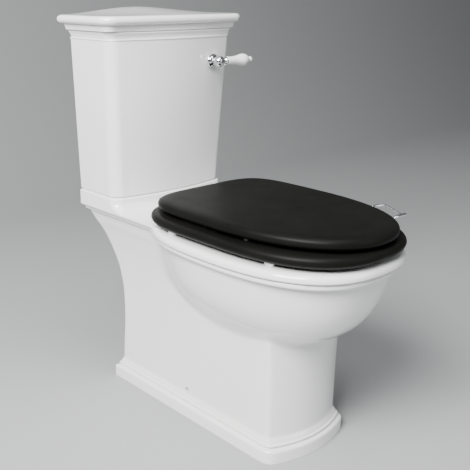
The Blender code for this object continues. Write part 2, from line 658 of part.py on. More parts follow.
def make_coupling(steel, rubber, brass):
    for side, word in ((-1, "left"), (1, "right")):
        x, y = side * COUPLING_X, at(VALVE_DEPTH)
        spot = (x, y, 0)
        bolt = make("coupling_bolt_" + word, rod(3.9, 380, TANK_FLOOR + 5.2, spot, sides=10), steel)
        join(bolt, hexagon(13, TANK_FLOOR + 5.0, TANK_FLOOR + 10.5, spot))
        cone = [(4.2, TANK_FLOOR + 0.3), (11, TANK_FLOOR + 0.3), (12.5, TANK_FLOOR + 4.6), (4.2, TANK_FLOOR + 4.6)]
        make("coupling_seal_" + word, turned(cone, spot, sides=14, hollow=True), rubber)
        make("coupling_washer_" + word, washer(12, 4.2, 401.4, 403.7, spot, sides=14), steel)
        make("coupling_wing_nut_" + word, wing_nut(x, y, 390, 401.1, 4.2, 8, 17), brass)


def make_floor_fixings(white, steel):
    for side, word in ((-1, "left"), (1, "right")):
        y = at(SIDE_HOLE_DEPTH)
        inner = side * 81.5
        low, high = sorted((inner, inner - side * 18))
        bracket = make("floor_bracket_" + word, box((low, y - 22, 0.2), (high, y + 22, 74)), white)
        slot_low, slot_high = sorted((inner - side * 6, inner - side * 30))
        cut(bracket, box((slot_low, y - 16, 8), (slot_high, y + 16, 90)))
        cut(bracket, rod(3.2, -40, 40, (inner, y, SIDE_HOLE_LEVEL), "X", 12))
        floor_spot = (inner - side * 12, y, 0)
        cut(bracket, rod(3.0, -5, 20, floor_spot, sides=10))
        side_low, side_high = sorted((inner - side * 14, inner + side * 7.5))
        screw = rod(2.9, side_low, side_high, (0, y, SIDE_HOLE_LEVEL), "X", 10)
        side_screw = make("side_screw_" + word, screw, steel)
        head_low, head_high = sorted((inner + side * 0.6, inner + side * 7.4))
        join(side_screw, rod(4.5, head_low, head_high, (0, y, SIDE_HOLE_LEVEL), "X", 12))
        floor_screw = make("floor_screw_" + word, rod(2.7, 0.5, 12, floor_spot, sides=10), steel)
        join(floor_screw, turned([(2.7, 8.3), (5.5, 8.3), (4.6, 12.5), (2.0, 13.4)], floor_spot, sides=12))


def make_wall_fixings(steel, rubber):
    for side, word in ((-1, "left"), (1, "right")):
        spot = (side * WALL_SCREW_X, 0, WALL_SCREW_LEVEL)
        inner_face = at(24.6)
        screw = rod(2.7, at(12.0), inner_face - 3.0, spot, "Y", 10)
        wall_screw = make("wall_screw_" + word, screw, steel)
        head = [(2.0, inner_face - 6.6), (4.6, inner_face - 5.6), (5.5, inner_face - 2.8), (2.7, inner_face - 2.8)]
        join(wall_screw, turned(head, spot, "Y", 12))
        make("wall_screw_washer_" + word, washer(8, 3.0, inner_face - 2.5, inner_face - 0.4, spot, "Y", 12), rubber)


# ---------------------------------------------------------------- the whole toilet


def main():
    for thing in list(bpy.data.objects):
        bpy.data.objects.remove(thing)
    ceramic = material("glazed_ceramic", (0.86, 0.86, 0.85), 0.06)
    black = material("black_plastic", (0.012, 0.012, 0.012), 0.38)
    chrome = material("chrome", (0.80, 0.80, 0.82), 0.08, 1.0)
    steel = material("steel", (0.55, 0.55, 0.56), 0.35, 1.0)
    brass = material("brass", (0.70, 0.52, 0.24), 0.35, 1.0)
    white = material("white_plastic", (0.80, 0.80, 0.79), 0.40)
    grey = material("grey_plastic", (0.22, 0.23, 0.25), 0.45)
    rubber = material("rubber", (0.03, 0.03, 0.03), 0.75)

    make_pan(ceramic)
    make_tank(ceramic)
    make_cistern_lid(ceramic)
    make_seat_ring(black)
    make_seat_lid(black)
    make_hinges(chrome, steel, rubber, white)
    make_buffers(white, rubber)
    make_handle(chrome)
    make_lever(chrome, ceramic, brass, rubber, grey)
    make_flush_valve(grey, rubber, white, brass)
    make_fill_valve(grey, white, rubber)
    make_coupling(steel, rubber, brass)
    make_floor_fixings(white, steel)
    make_wall_fixings(steel, rubber)


main()
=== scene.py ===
"""Close coupled toilet: the visible pieces, their materials, a plain studio and the camera.

Shapes are worked out in millimetres in the frame's own axes and become metres when a mesh is made.
Depths are distances from the wall that the cistern backs onto, and at() turns them into Y.
"""

import math

import bmesh
import bpy
import numpy as np
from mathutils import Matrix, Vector


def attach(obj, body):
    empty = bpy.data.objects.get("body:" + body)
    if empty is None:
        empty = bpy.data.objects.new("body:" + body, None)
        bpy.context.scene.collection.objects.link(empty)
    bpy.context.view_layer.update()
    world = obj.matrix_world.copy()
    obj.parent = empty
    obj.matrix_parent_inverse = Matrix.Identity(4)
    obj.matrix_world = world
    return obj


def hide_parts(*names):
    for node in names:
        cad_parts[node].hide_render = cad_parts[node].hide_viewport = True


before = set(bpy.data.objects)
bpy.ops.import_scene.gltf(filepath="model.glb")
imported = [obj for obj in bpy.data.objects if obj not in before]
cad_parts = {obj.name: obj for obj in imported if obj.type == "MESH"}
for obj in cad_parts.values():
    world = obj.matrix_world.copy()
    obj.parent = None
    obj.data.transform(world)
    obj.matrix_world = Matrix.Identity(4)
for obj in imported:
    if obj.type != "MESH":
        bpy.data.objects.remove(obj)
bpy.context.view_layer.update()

MM = 0.001
GAP = 0.3
SIDES = ((-1, "left"), (1, "right"))
WALL_Y = 82.0

RIM_TOP = 400.0
SHELF_TOP = 428.0
TANK_FLOOR = 440.0
TANK_SEAM = 756.0

# Pan in plan
FOOT = dict(half=109.2, rear=69.0, front=538.3, bow=25.6)
SHELF_HALF, SHELF_REAR, SHELF_BOW = 147.5, 11.0, 19.0
RIB_DEPTH = 26.0
PAN_WALL = 13.0
REAR_CORNER = 2.5
BOWL_CENTRE = 423.0
REAR_SHARE = 0.95
FOOT_TOP, FOOT_INSET = 46.0, 14.4
PEDESTAL_TOP = 382.0
CORNER_SOFTNESS = 11.0
OUTLET_LEVEL = 180.0
TRAP_BORE = 38.0
TRAP_WALL = 12.0

# Cistern in plan
TANK_BASE = dict(half=144.5, rear=10.7, front=130.7, bow=19.0, radius=28.0)
TANK_TOP = dict(half=159.1, rear=16.0, front=147.1, bow=23.5, radius=28.0)
TANK_WALL = 9.0
TANK_FROM, TANK_TO = 432.0, 740.0
SEAM = dict(half=164.3, rear=14.0, front=151.5, bow=21.5, radius=27.0)
LID_EDGE = dict(half=179.2, rear=0.0, front=166.7, bow=12.4, radius=30.0)
LID_CROWN = 798.4
CROWN_RIDGE = 0.85

# Seat
RING_POWERS = (2.6, 3.85)
RING_HALF, RING_FRONT, RING_REAR = 168.0, 259.5, 212.0
HOLE_HALF, HOLE_FRONT, HOLE_REAR = 117.0, 183.0, 112.0
COVER_POWERS = (2.23, 4.94)
COVER_HALF, COVER_FRONT, COVER_REAR = 153.6, 257.1, 189.4
COVER_TOP, COVER_CROWN = 455.8, 1.6
HINGE_DEPTH, HINGE_LEVEL, HINGE_X = 228.0, 436.0, 77.5
PIN_RADIUS = 4.0

# Flush lever, valves and fixings
LEVER_X, LEVER_LEVEL, LEVER_DEPTH = 92.0, 691.0, 183.0
VALVE_DEPTH = 80.0
FILL_X, FILL_DEPTH = -112.0, 85.0
COUPLING_X = 76.0
SIDE_HOLE_DEPTH, SIDE_HOLE_LEVEL, SIDE_HOLE_RADIUS = 299.0, 51.0, 5.0
WALL_SCREW_X, WALL_SCREW_LEVEL = 95.0, 705.0


def at(distance_from_wall):
    return WALL_Y - distance_from_wall


# ---- materials


class Finish:
    """A node material round one Principled shader, in object coordinates (metres)."""

    def __init__(self, name, metallic=0.0):
        self.material = bpy.data.materials.new(name)
        self.material.use_nodes = True
        self.tree = self.material.node_tree
        self.shader = self.tree.nodes["Principled BSDF"]
        self.shader.inputs["Metallic"].default_value = metallic
        self.place = self.tree.nodes.new("ShaderNodeTexCoord").outputs["Object"]
        self.height = None

    def set(self, **values):
        for name, value in values.items():
            self.shader.inputs[name.replace("_", " ")].default_value = value

    def noise(self, scale, detail=3.0, roughness=0.5, stretch=None):
        node = self.tree.nodes.new("ShaderNodeTexNoise")
        node.inputs["Scale"].default_value = scale
        node.inputs["Detail"].default_value = detail
        node.inputs["Roughness"].default_value = roughness
        place = self.place
        if stretch:
            mapping = self.tree.nodes.new("ShaderNodeMapping")
            mapping.inputs["Scale"].default_value = stretch
            self.tree.links.new(place, mapping.inputs["Vector"])
            place = mapping.outputs["Vector"]
        self.tree.links.new(place, node.inputs["Vector"])
        return node.outputs["Fac"]

    def vary(self, name, low, high, *noise):
        """Lets a noise move an input of the shader between two numbers or two colours."""
        factor = self.noise(*noise)
        if isinstance(low, tuple):
            node = self.tree.nodes.new("ShaderNodeValToRGB")
            for stop, position, colour in zip(node.color_ramp.elements, (0.3, 0.7), (low, high)):
                stop.position = position
                stop.color = (*colour, 1.0)
            self.tree.links.new(factor, node.inputs["Fac"])
            self.link(node.outputs["Color"], name)
            return
        node = self.tree.nodes.new("ShaderNodeMapRange")
        for end, value in zip(("From Min", "From Max", "To Min", "To Max"), (0.3, 0.7, low, high)):
            node.inputs[end].default_value = value
        self.tree.links.new(factor, node.inputs["Value"])
        self.link(node.outputs["Result"], name)

    def link(self, output, name):
        self.tree.links.new(output, self.shader.inputs[name])

    def bump(self, strength, distance, *noise):
        factor = self.noise(*noise)
        node = self.tree.nodes.new("ShaderNodeBump")
        node.inputs["Strength"].default_value = strength
        node.inputs["Distance"].default_value = distance
        self.tree.links.new(factor, node.inputs["Height"])
        if self.height:
            self.tree.links.new(self.height, node.inputs["Normal"])
        self.height = node.outputs["Normal"]
        self.link(self.height, "Normal")


def glaze(name="white_glaze"):
    """Vitreous china: clean white under a thick, very slightly wavy gloss."""
    finish = Finish(name)
    finish.vary("Base Color", (0.80, 0.80, 0.795), (0.84, 0.84, 0.84), 5.0, 4.0)
    finish.vary("Roughness", 0.10, 0.16, 38.0, 3.0)
    finish.set(IOR=1.52, Coat_Weight=0.6, Coat_Roughness=0.03, Specular_IOR_Level=0.5)
    finish.bump(0.12, 0.0016, 11.0, 1.0)
    finish.bump(0.05, 0.0002, 160.0, 2.0)
    return finish.material


def seat_plastic():
    """Satin black moulding resin with fine grain and faint handling marks."""
    finish = Finish("satin_black")
    finish.vary("Base Color", (0.0042, 0.0042, 0.0038), (0.0064, 0.0063, 0.0056), 9.0, 4.0)
    finish.vary("Roughness", 0.40, 0.46, 26.0, 6.0, 0.65)
    finish.set(IOR=1.46, Specular_IOR_Level=0.075)
    finish.bump(0.06, 0.0001, 1100.0, 3.0)
    finish.bump(0.05, 0.001, 7.0, 0.5)
    return finish.material


def metal(name, dark, light, rough, grain, stretch=None):
    finish = Finish(name, 1.0)
    finish.vary("Base Color", dark, light, grain, 4.0, 0.6, stretch)
    finish.vary("Roughness", *rough, grain * 1.7, 5.0, 0.6, stretch)
    finish.bump(0.12, 0.00006, grain * 3.0, 3.0, 0.5, stretch)
    return finish.material


def polymer(name, dark, light, rough, grain=700.0, strength=0.10):
    finish = Finish(name)
    finish.vary("Base Color", dark, light, 22.0, 4.0)
    finish.vary("Roughness", *rough, 70.0, 4.0)
    finish.bump(strength, 0.0002, grain, 3.0)
    return finish.material


GLAZE = glaze()
LEVER_GLAZE = glaze("lever_glaze")
BLACK = seat_plastic()
CHROME = metal("polished_chrome", (0.70, 0.71, 0.73), (0.84, 0.85, 0.87), (0.035, 0.075), 30.0)
# Steel for the side screws, coloured near black as painted shade so the side holes read dark
HOLE_SHADE_STEEL = metal("steel_painted_hole_shade", (0.05, 0.05, 0.05), (0.10, 0.10, 0.10), (0.40, 0.55), 90.0)
STEEL = metal("plain_steel", (0.42, 0.42, 0.43), (0.58, 0.58, 0.60), (0.28, 0.42), 90.0, (1.0, 1.0, 0.12))
BRASS = metal("plain_brass", (0.48, 0.33, 0.13), (0.70, 0.51, 0.23), (0.26, 0.42), 70.0)
WHITE = polymer("white_nylon", (0.70, 0.70, 0.68), (0.80, 0.80, 0.79), (0.34, 0.48))
BUFFER = polymer("buffer_white", (0.60, 0.61, 0.61), (0.72, 0.73, 0.73), (0.42, 0.55))
GREY = polymer("grey_moulding", (0.16, 0.165, 0.18), (0.23, 0.235, 0.25), (0.38, 0.52))
RUBBER = polymer("black_rubber", (0.016, 0.016, 0.016), (0.035, 0.034, 0.033), (0.62, 0.82), 500.0, 0.35)


# ---- meshes


def make(name, shape, finish):
    points, faces = shape
    mesh = bpy.data.meshes.new(name)
    mesh.from_pydata((np.asarray(points, float) * MM).tolist(), [], faces)
    work = bmesh.new()
    work.from_mesh(mesh)
    bmesh.ops.remove_doubles(work, verts=work.verts, dist=1e-6)
    bmesh.ops.recalc_face_normals(work, faces=work.faces)
    work.to_mesh(mesh)
    work.free()
    mesh.materials.append(finish)
    mesh.shade_smooth()
    made = bpy.data.objects.new(name, mesh)
    bpy.context.scene.collection.objects.link(made)
    return made


def applied(target):
    """Turns the target's modifiers into its mesh."""
    bpy.context.view_layer.update()
    graph = bpy.context.evaluated_depsgraph_get()
    old = target.data
    new = bpy.data.meshes.new_from_object(target.evaluated_get(graph), depsgraph=graph)
    target.modifiers.clear()
    target.data = new
    new.name = target.name
    bpy.data.meshes.remove(old)


def boolean(target, shape, operation):
    tool = make("tool", shape, target.data.materials[0])
    step = target.modifiers.new(operation.lower(), "BOOLEAN")
    step.operation = operation
    step.object = tool
    applied(target)
    bpy.data.objects.remove(tool)


def cut(target, *shapes):
    for shape in shapes:
        boolean(target, shape, "DIFFERENCE")


def join(target, *shapes):
    for shape in shapes:
        boolean(target, shape, "UNION")


def taken(thing):
    points = [tuple(v.co / MM) for v in thing.data.vertices]
    faces = [tuple(p.vertices) for p in thing.data.polygons]
    bpy.data.objects.remove(thing)
    return points, faces


def finished(thing, body="pan_and_cistern", edge=0.0, angle=32):
    """Rounds the sharp edges that are left, sets the shading and puts the piece in the frame."""
    if edge:
        step = thing.modifiers.new("edge", "BEVEL")
        step.width = edge * MM
        step.segments = 2
        step.limit_method = "ANGLE"
        step.angle_limit = math.radians(angle)
        step.harden_normals = False
        applied(thing)
    thing.data.shade_smooth()
    thing.data.set_sharp_from_angle(angle=math.radians(angle))
    step = thing.modifiers.new("normals", "WEIGHTED_NORMAL")
    step.keep_sharp = True
    step.weight = 80
    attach(thing, body)
    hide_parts(thing.name.removesuffix("_look"))


def look(node, shape, finish):
    """The visible piece that stands for a solid of that name."""
    return make(node + "_look", shape, finish)


def piece(node, shape, finish, *body, **settings):
    finished(look(node, shape, finish), *body, **settings)


# ---- shapes, each (points, faces)


def loft(rings, closed=False):
    """Joins rings of points into a skin with capped ends or, when closed, into a loop."""
    count = len(rings[0])
    points = [p for ring in rings for p in ring]
    faces = []
    spans = len(rings) if closed else len(rings) - 1
    for i in range(spans):
        low, high = i * count, (i + 1) % len(rings) * count
        for k in range(count):
            after = (k + 1) % count
            faces.append((low + k, low + after, high + after, high + k))
    if not closed:
        faces.append(tuple(range(count))[::-1])
        faces.append(tuple(len(points) - count + k for k in range(count)))
    return points, faces


def box(low, high):
    corners = [(low[0], low[1]), (high[0], low[1]), (high[0], high[1]), (low[0], high[1])]
    return loft([[(x, y, z) for x, y in corners] for z in (low[2], high[2])])


def rounded(corners, radii, steps):
    """A polygon whose corners become arcs of the given radii; a radius of 0 leaves a corner as it is."""
    outline = []
    for i, radius in enumerate(radii):
        corner = Vector(corners[i])
        before = Vector(corners[i - 1]) - corner
        after = Vector(corners[(i + 1) % len(corners)]) - corner
        angle = before.angle(after)
        if radius > 0:
            radius = min(radius, 0.45 * min(before.length, after.length) * math.tan(angle / 2))
        if radius <= 1e-3 or angle > math.radians(172):
            outline.append(tuple(corner))
            continue
        before, after = before.normalized(), after.normalized()
        centre = corner + (before + after).normalized() * radius / math.sin(angle / 2)
        start = corner + before * radius / math.tan(angle / 2) - centre
        turn = start.angle_signed(corner + after * radius / math.tan(angle / 2) - centre)
        for k in range(steps + 1):
            part = -turn * k / steps
            cosine, sine = math.cos(part), math.sin(part)
            across = start.x * cosine - start.y * sine
            outline.append((centre.x + across, centre.y + start.x * sine + start.y * cosine))
    return outline


def turned(profile, centre, axis="Z", sides=56, hollow=False, soft=0.5, curve=0):
    """Turns (radius, height) points about an axis through centre, with its corners softened."""
    if curve:
        profile = [tuple(p) for p in smooth_path([(r, h, 0) for r, h in profile], curve)]
        profile = [(r, h) for r, h, _ in profile]
    if hollow:
        profile = rounded(profile, [soft] * len(profile), 3)
    else:
        loop = [(0.02, profile[0][1]), *profile, (0.02, profile[-1][1])]
        profile = rounded(loop, [0] + [0 if curve else soft] * len(profile) + [0], 3)
    rings = []
    for radius, height in profile:
        ring = []
        for k in range(sides):
            angle = 2 * math.pi * (k + 0.5) / sides
            u, v = max(radius, 0.01) * math.cos(angle), max(radius, 0.01) * math.sin(angle)
            spot = {"X": (height, u, v), "Y": (v, height, u), "Z": (u, v, height)}[axis]
            ring.append(tuple(s + c for s, c in zip(spot, centre)))
        rings.append(ring)
    return loft(rings, closed=hollow)


def rod(radius, low, high, centre, axis="Z", sides=40, soft=0.4):
    return turned([(radius, low), (radius, high)], centre, axis, sides, soft=soft)


def washer(outer, inner, low, high, centre, axis="Z", sides=56, soft=0.5):
    loop = [(outer, low), (outer, high), (inner, high), (inner, low)]
    return turned(loop, centre, axis, sides, hollow=True, soft=soft)


def hexagon(across_flats, low, high, centre, axis="Z"):
    return rod(across_flats / math.sqrt(3), low, high, centre, axis, sides=6, soft=0.0)


def threaded(radius, low, high, centre, pitch=1.5, axis="Z", sides=24):
    """A screw thread, as close grooves."""
    profile, level = [(radius - 0.5, low)], low + 0.4
    while level < high - pitch:
        root = (radius - 0.12 * pitch - 0.25, level + 0.55 * pitch)
        profile += [(radius, level), (radius, level + 0.15 * pitch), root]
        level += pitch
    profile.append((radius - 0.5, high))
    return turned(profile, centre, axis, sides, soft=0.0)


def tube(path, radius, sides=20):
    points = [Vector(p) for p in path]
    radii = radius if isinstance(radius, list) else [radius] * len(points)
    rings = []
    side = Vector((0, 0, 1))
    for i, point in enumerate(points):
        along = (points[min(i + 1, len(points) - 1)] - points[max(i - 1, 0)]).normalized()
        side = (side - along * side.dot(along)).normalized()
        if side.length < 0.5:
            side = along.orthogonal().normalized()
        across = along.cross(side)
        angles = [2 * math.pi * k / sides for k in range(sides)]
        rings.append([tuple(point + radii[i] * (side * math.cos(a) + across * math.sin(a))) for a in angles])
    return loft(rings)


def catmull_rom(a, b, c, d, t):
    bend = (2 * a - 5 * b + 4 * c - d) * t**2
    return 0.5 * (2 * b + (c - a) * t + bend + (3 * b - a - 3 * c + d) * t**3)


def smooth_path(points, steps):
    """Catmull-Rom curve through the given points."""
    spots = [Vector(p) for p in points]
    spots = [2 * spots[0] - spots[1], *spots, 2 * spots[-1] - spots[-2]]
    path = []
    for i in range(1, len(spots) - 2):
        path += [catmull_rom(*spots[i - 1 : i + 3], k / steps) for k in range(steps)]
    path.append(spots[-2])
    return path


def bowed(level, half, rear, front, bow, radius, inset=0.0, spans=40, steps=10):
    """A level ring: a rectangle in plan with a bowed front and rounded front corners, inset all round."""
    half, rear, front, radius = half - inset, rear + inset, front - inset, max(radius - inset, 2.0)
    outline = []
    for side, start in ((1, 0.0), (-1, math.pi / 2)):
        x, y = side * (half - REAR_CORNER), at(rear) - REAR_CORNER
        for k in range(7):
            angle = start + math.pi / 2 * k / 6
            outline.append((x + REAR_CORNER * math.cos(angle), y + REAR_CORNER * math.sin(angle)))
    turn = math.pi / 2 - math.atan(2 * bow / half)
    arc = []
    for k in range(steps + 1):
        angle = turn * k / steps
        x = half - radius + radius * math.cos(angle)
        arc.append((x, at(front) + radius * math.tan(turn / 2) - radius * math.sin(angle)))
    outline += [(-x, y) for x, y in arc]
    for k in range(spans + 1):
        x = (half - 1.1 * radius) * (2 * k / spans - 1)
        outline.append((x, at(front + bow * (1 - (x / half) ** 2))))
    outline += arc[::-1]
    return [(x, y, level) for x, y in outline]


def oval(level, half, front, rear, exponents, centre=BOWL_CENTRE, sides=176):
    ring = []
    for k in range(sides):
        angle = 2 * math.pi * k / sides
        cosine, sine = math.cos(angle), math.sin(angle)
        reach, power = (rear, 2 / exponents[1]) if sine > 0 else (front, 2 / exponents[0])
        x = half * math.copysign(abs(cosine) ** power, cosine)
        y = reach * math.copysign(abs(sine) ** power, sine)
        ring.append((x, at(centre) + y, level))
    return ring


def even(ring, count):
    """The same outline with its points spaced evenly."""
    points = np.array(ring, float)
    closed = np.vstack([points, points[:1]])
    length = np.concatenate([[0], np.cumsum(np.linalg.norm(np.diff(closed, axis=0), axis=1))])
    spots = np.linspace(0, length[-1], count, endpoint=False)
    return [tuple(np.interp(s, length, closed[:, axis]) for axis in range(3)) for s in spots]


def between(low, high, share):
    return {key: low[key] + (high[key] - low[key]) * share for key in low}


# ---- pan

# (level, half width, rear) of the pedestal
PEDESTAL = [
    (46, 94.8, 83.4), (90, 95, 86.5), (137, 95.5, 91), (205, 98, 93), (257, 103, 88), (300, 110, 75),
    (347, 122, 53), (361, 127, 41.5), (382, 133, 26),
]
# (level, inset) of the moulded edges of the foot and the shelf
FOOT_EDGE = [
    (0, 0.6), (0.8, 0), (21.5, 0), (23.6, 0.35), (25.2, 1.3), (26.3, 2.8), (27, 4.8), (27.4, 6.8),
    (27.9, 8.3), (28.6, 8.7), (29.2, 8), (29.8, 6.9), (30.8, 6.3), (32, 6.2), (33.2, 6.5), (34.1, 7.3),
    (34.6, 8.4), (35.1, 9.3), (35.8, 9.6), (36.8, 9.9), (38.4, 10.6), (40.2, 11.5), (42.2, 12.6),
    (44.2, 13.6), (46, 14.4),
]
SHELF_EDGE = [
    (382.6, 13.6), (383.6, 13), (384.6, 12.7), (385.2, 12), (385.7, 10.6), (386.2, 9), (386.8, 8),
    (387.8, 7.4), (389.2, 7.1), (391.2, 7), (391.9, 7.3), (392.4, 8), (392.9, 7.9), (393.3, 6.4),
    (393.6, 4.6), (394, 3), (394.6, 1.8), (395.5, 0.9), (396.8, 0.25), (398.2, 0), (400, 0),
]
# (level, softness) of the hollow corner between the pedestal and the bowl
FILLET = [(190.0, 2.0), (205.0, 10.0), (255.0, 16.0), (300.0, 22.0), (362.0, 14.0), (380.0, 5.0)]
# (level, half width, front reach) of the bowl and its rolled rim
BOWL = [
    (190, 20, 38), (193, 36, 70), (196, 49, 92), (203, 64, 100), (212, 74, 109), (222, 86, 132),
    (235, 99, 156.5), (250, 114.5, 179), (265, 127.5, 196), (280, 137, 208), (295, 144.5, 217),
    (310, 150, 224), (325, 154, 229), (345, 158, 234.5), (358, 160.4, 237.2), (366, 161.6, 238.6),
    (368.2, 162.3, 239.8), (369.6, 163.6, 242.2), (370.6, 165.6, 245.6), (371.8, 168.4, 249.4),
    (373.4, 170.3, 251.6), (375.4, 171.2, 252.6), (377.6, 171.5, 252.9), (379.6, 171.2, 252.6),
    (381, 170.2, 251.6), (381.8, 169.3, 250.6), (382.4, 169.3, 250.6), (382.9, 170.8, 252.2),
    (383.5, 173.2, 254.6), (384.8, 175.4, 256.8), (387, 176.7, 257.9), (390, 176.6, 257.8),
    (393.4, 175.7, 256.9), (396.2, 173.8, 255), (398.3, 171, 252.2), (399.5, 167.4, 248.6),
    (400, 163, 244.2),
]


def smooth_max(a, b, reach):
    share = np.clip(0.5 + 0.5 * (a - b) / reach, 0, 1)
    return b + (a - b) * share + reach * share * (1 - share)


def smooth_min(a, b, reach):
    return -smooth_max(-a, -b, reach)


def cubic(table, level, column):
    """Smooth interpolation of a table's column by level, without overshoot."""
    levels = np.array([row[0] for row in table])
    values = np.array([row[column] for row in table])
    i = int(np.clip(np.searchsorted(levels, level) - 1, 0, len(levels) - 2))
    slopes = np.diff(values) / np.diff(levels)

    def tangent(k):
        if k == 0 or k == len(levels) - 1:
            return slopes[min(k, len(slopes) - 1)]
        a, b = slopes[k - 1], slopes[k]
        return 0.0 if a * b <= 0 else 2 * a * b / (a + b)

    width = levels[i + 1] - levels[i]
    t = np.clip((level - levels[i]) / width, 0, 1)
    return (
        values[i] * (2 * t**3 - 3 * t**2 + 1)
        + values[i + 1] * (3 * t**2 - 2 * t**3)
        + width * (tangent(i) * (t**3 - 2 * t**2 + t) + tangent(i + 1) * (t**3 - t**2))
    )


def side_section(level):
    """(half width, rear, front, corner softness) of the foot, pedestal or shelf at a level."""
    if level <= FOOT_TOP:
        inset = float(np.interp(level, *zip(*FOOT_EDGE)))
        return FOOT["half"] - inset, FOOT["rear"] + inset, FOOT["front"] - inset, 24.0 - inset
    front = FOOT["front"] - FOOT_INSET
    if level <= PEDESTAL_TOP:
        return cubic(PEDESTAL, level, 1), cubic(PEDESTAL, level, 2), front, CORNER_SOFTNESS
    inset = float(np.interp(level, *zip(*SHELF_EDGE)))
    return SHELF_HALF - inset, SHELF_REAR + inset, front, CORNER_SOFTNESS


def ray_angles(half, rear, front):
    """Directions from the bowl's centre, crowded round the four corners of a section."""
    low, high = at(front) - at(BOWL_CENTRE), at(rear) - at(BOWL_CENTRE)
    corners = [math.atan2(high, half), math.atan2(high, -half), math.atan2(low, -half), math.atan2(low, half)]
    reach = [math.hypot(half, high)] * 2 + [math.hypot(half, low)] * 2
    crowd = [0.4, 0.9, 1.6, 2.6, 4.2, 7.0, 11.0]
    counts = [20, 70, 84, 70]
    angles = []
    for i in range(4):
        start, end = corners[i], corners[(i + 1) % 4]
        if end < start:
            end += 2 * math.pi
        near_start = [start + c / reach[i] * 1.4 for c in crowd]
        near_end = [end - c / reach[(i + 1) % 4] * 1.4 for c in crowd][::-1]
        middle = np.linspace(near_start[-1], near_end[0], counts[i] + 2)[1:-1]
        angles += [start, *near_start, *middle, *near_end]
    return np.array(angles)


def section_ring(level, side_level=None):
    """Plan outline of the pan at a level: the pedestal or shelf blended with the bowl."""
    half, rear, front, corner = side_section(level if side_level is None else side_level)
    angles = ray_angles(half, rear, front)
    cosine, sine = np.cos(angles), np.sin(angles)
    sides = half / np.maximum(np.abs(cosine), 1e-6)
    back = np.where(sine > 1e-6, (at(rear) - at(BOWL_CENTRE)) / np.maximum(sine, 1e-6), 1e6)
    rectangle = smooth_min(np.minimum(sides, 1e5), np.minimum(back, 1e5), 4.0)
    ahead = np.full_like(angles, 1e5)
    forward = sine < -1e-6
    reach = np.full(forward.sum(), 120.0)
    for _ in range(12):
        x = np.clip(reach * cosine[forward] / half, -1.4, 1.4)
        bow = FOOT["bow"] * (1 - x**2)
        reach = 0.5 * reach + 0.5 * np.minimum((front + bow - BOWL_CENTRE) / -sine[forward], 1e5)
    ahead[forward] = reach
    rectangle = smooth_min(rectangle, ahead, corner)
    if level >= BOWL[0][0]:
        width, length = cubic(BOWL, level, 1), cubic(BOWL, level, 2)
        power = float(np.interp(level, [369.0, 373.0], [2.4, 2.58]))
        depth = np.where(sine > 0, length * REAR_SHARE, length)
        bowl = (np.abs(cosine / width) ** power + np.abs(sine / depth) ** power) ** (-1 / power)
        radius = smooth_max(rectangle, bowl, float(np.interp(level, *zip(*FILLET))))
    else:
        radius = rectangle
    return np.stack([radius * cosine, at(BOWL_CENTRE) + radius * sine], axis=1)


def pan_skin():
    """The outside of the pan as one closed block, with a level top."""
    levels = [row[0] for row in FOOT_EDGE]
    levels += [52, 60, 72, 86, 100, 115, 130, 145, 160, 172, 182]
    levels += list(np.arange(188, 262, 2.5)) + list(np.arange(264, 366, 4.0))
    levels += [row[0] for row in BOWL if row[0] > 365] + [row[0] for row in SHELF_EDGE] + [PEDESTAL_TOP]
    levels = sorted({round(float(v), 2) for v in levels})
    return loft([[(x, y, level) for x, y in section_ring(level)] for level in levels])


def shelf_block():
    """The raised shelf under the cistern and the hollow curve at its foot, which spreads out to the rim."""
    # (level, front, corner radius, inset)
    foot = [
        (399.2, 168, 6, 0.9), (399.7, 166, 6, 0.03), (400.4, 161.5, 7.5, 0.02), (401.2, 157.6, 9.3, 0.02),
        (402.2, 154, 11.2, 0.02), (403.4, 150.8, 13.2, 0.02), (404.8, 147.9, 15.3, 0.02),
        (406.4, 145.2, 17.3, 0.02), (408.2, 142.8, 19.3, 0.02), (410.2, 140.5, 21.2, 0.02),
        (412.4, 138.6, 23, 0.02), (414.8, 137.1, 24.6, 0.02), (417.4, 136.1, 25.6, 0.02),
        (420.2, 135.5, 26, 0.02), (425, 135.1, 26, 0.02), (426, 135.1, 26, 0.2), (426.8, 135.1, 26, 0.55),
        (427.4, 135.1, 26, 1.1), (427.8, 135.1, 26, 1.8), (SHELF_TOP, 135.1, 26, 2.8),
    ]
    rings = []
    for level, front, radius, inset in foot:
        size = (SHELF_HALF, SHELF_REAR, front, SHELF_BOW, radius + inset)
        rings.append(bowed(level, *size, inset=inset, spans=60))
    return loft(rings)


def pan_hollow():
    """The space inside the pedestal, open below and, above the tie rib, open to the wall."""
    past_wall = -40.0
    small = dict(spans=12, steps=4)
    rings = [bowed(z, 94.0, FOOT["rear"] + RIB_DEPTH, 524.0, 22.0, 9.0, **small) for z in (-5.0, 20.0)]
    rings.append(bowed(20.5, 94.0, past_wall, 524.0, 22.0, 9.0, **small))
    for level in (46.0, 137.0, 205.0, 257.0, 300.0, 347.0, 361.0):
        half = cubic(PEDESTAL, max(level, 46.1), 1) - PAN_WALL
        front = min(511.0, 511.0 - (level - 257.0) * 0.95)
        rings.append(bowed(level, half, past_wall, front, 18.0, 6.0, **small))
    rings.append(bowed(382.0, 120.0, past_wall, 190.0, 8.0, 6.0, **small))
    rings.append(bowed(404.0, 122.0, past_wall, 140.0, 8.0, 6.0, **small))
    return loft(rings)


def bowl_body():
    """The body of the bowl inside the skin, which closes the top of the hollow."""
    rings = []
    for level in (198, 203, 209, 215, 223, 232, 242, 252, 265, 278, 292, 308, 324, 340, 352, 366, 376):
        half, front = cubic(BOWL, level, 1) - 3.0, cubic(BOWL, level, 2) - 3.0
        rings.append(oval(level, half, front, front * REAR_SHARE, (2.4, 2.4), sides=96))
    return loft(rings)


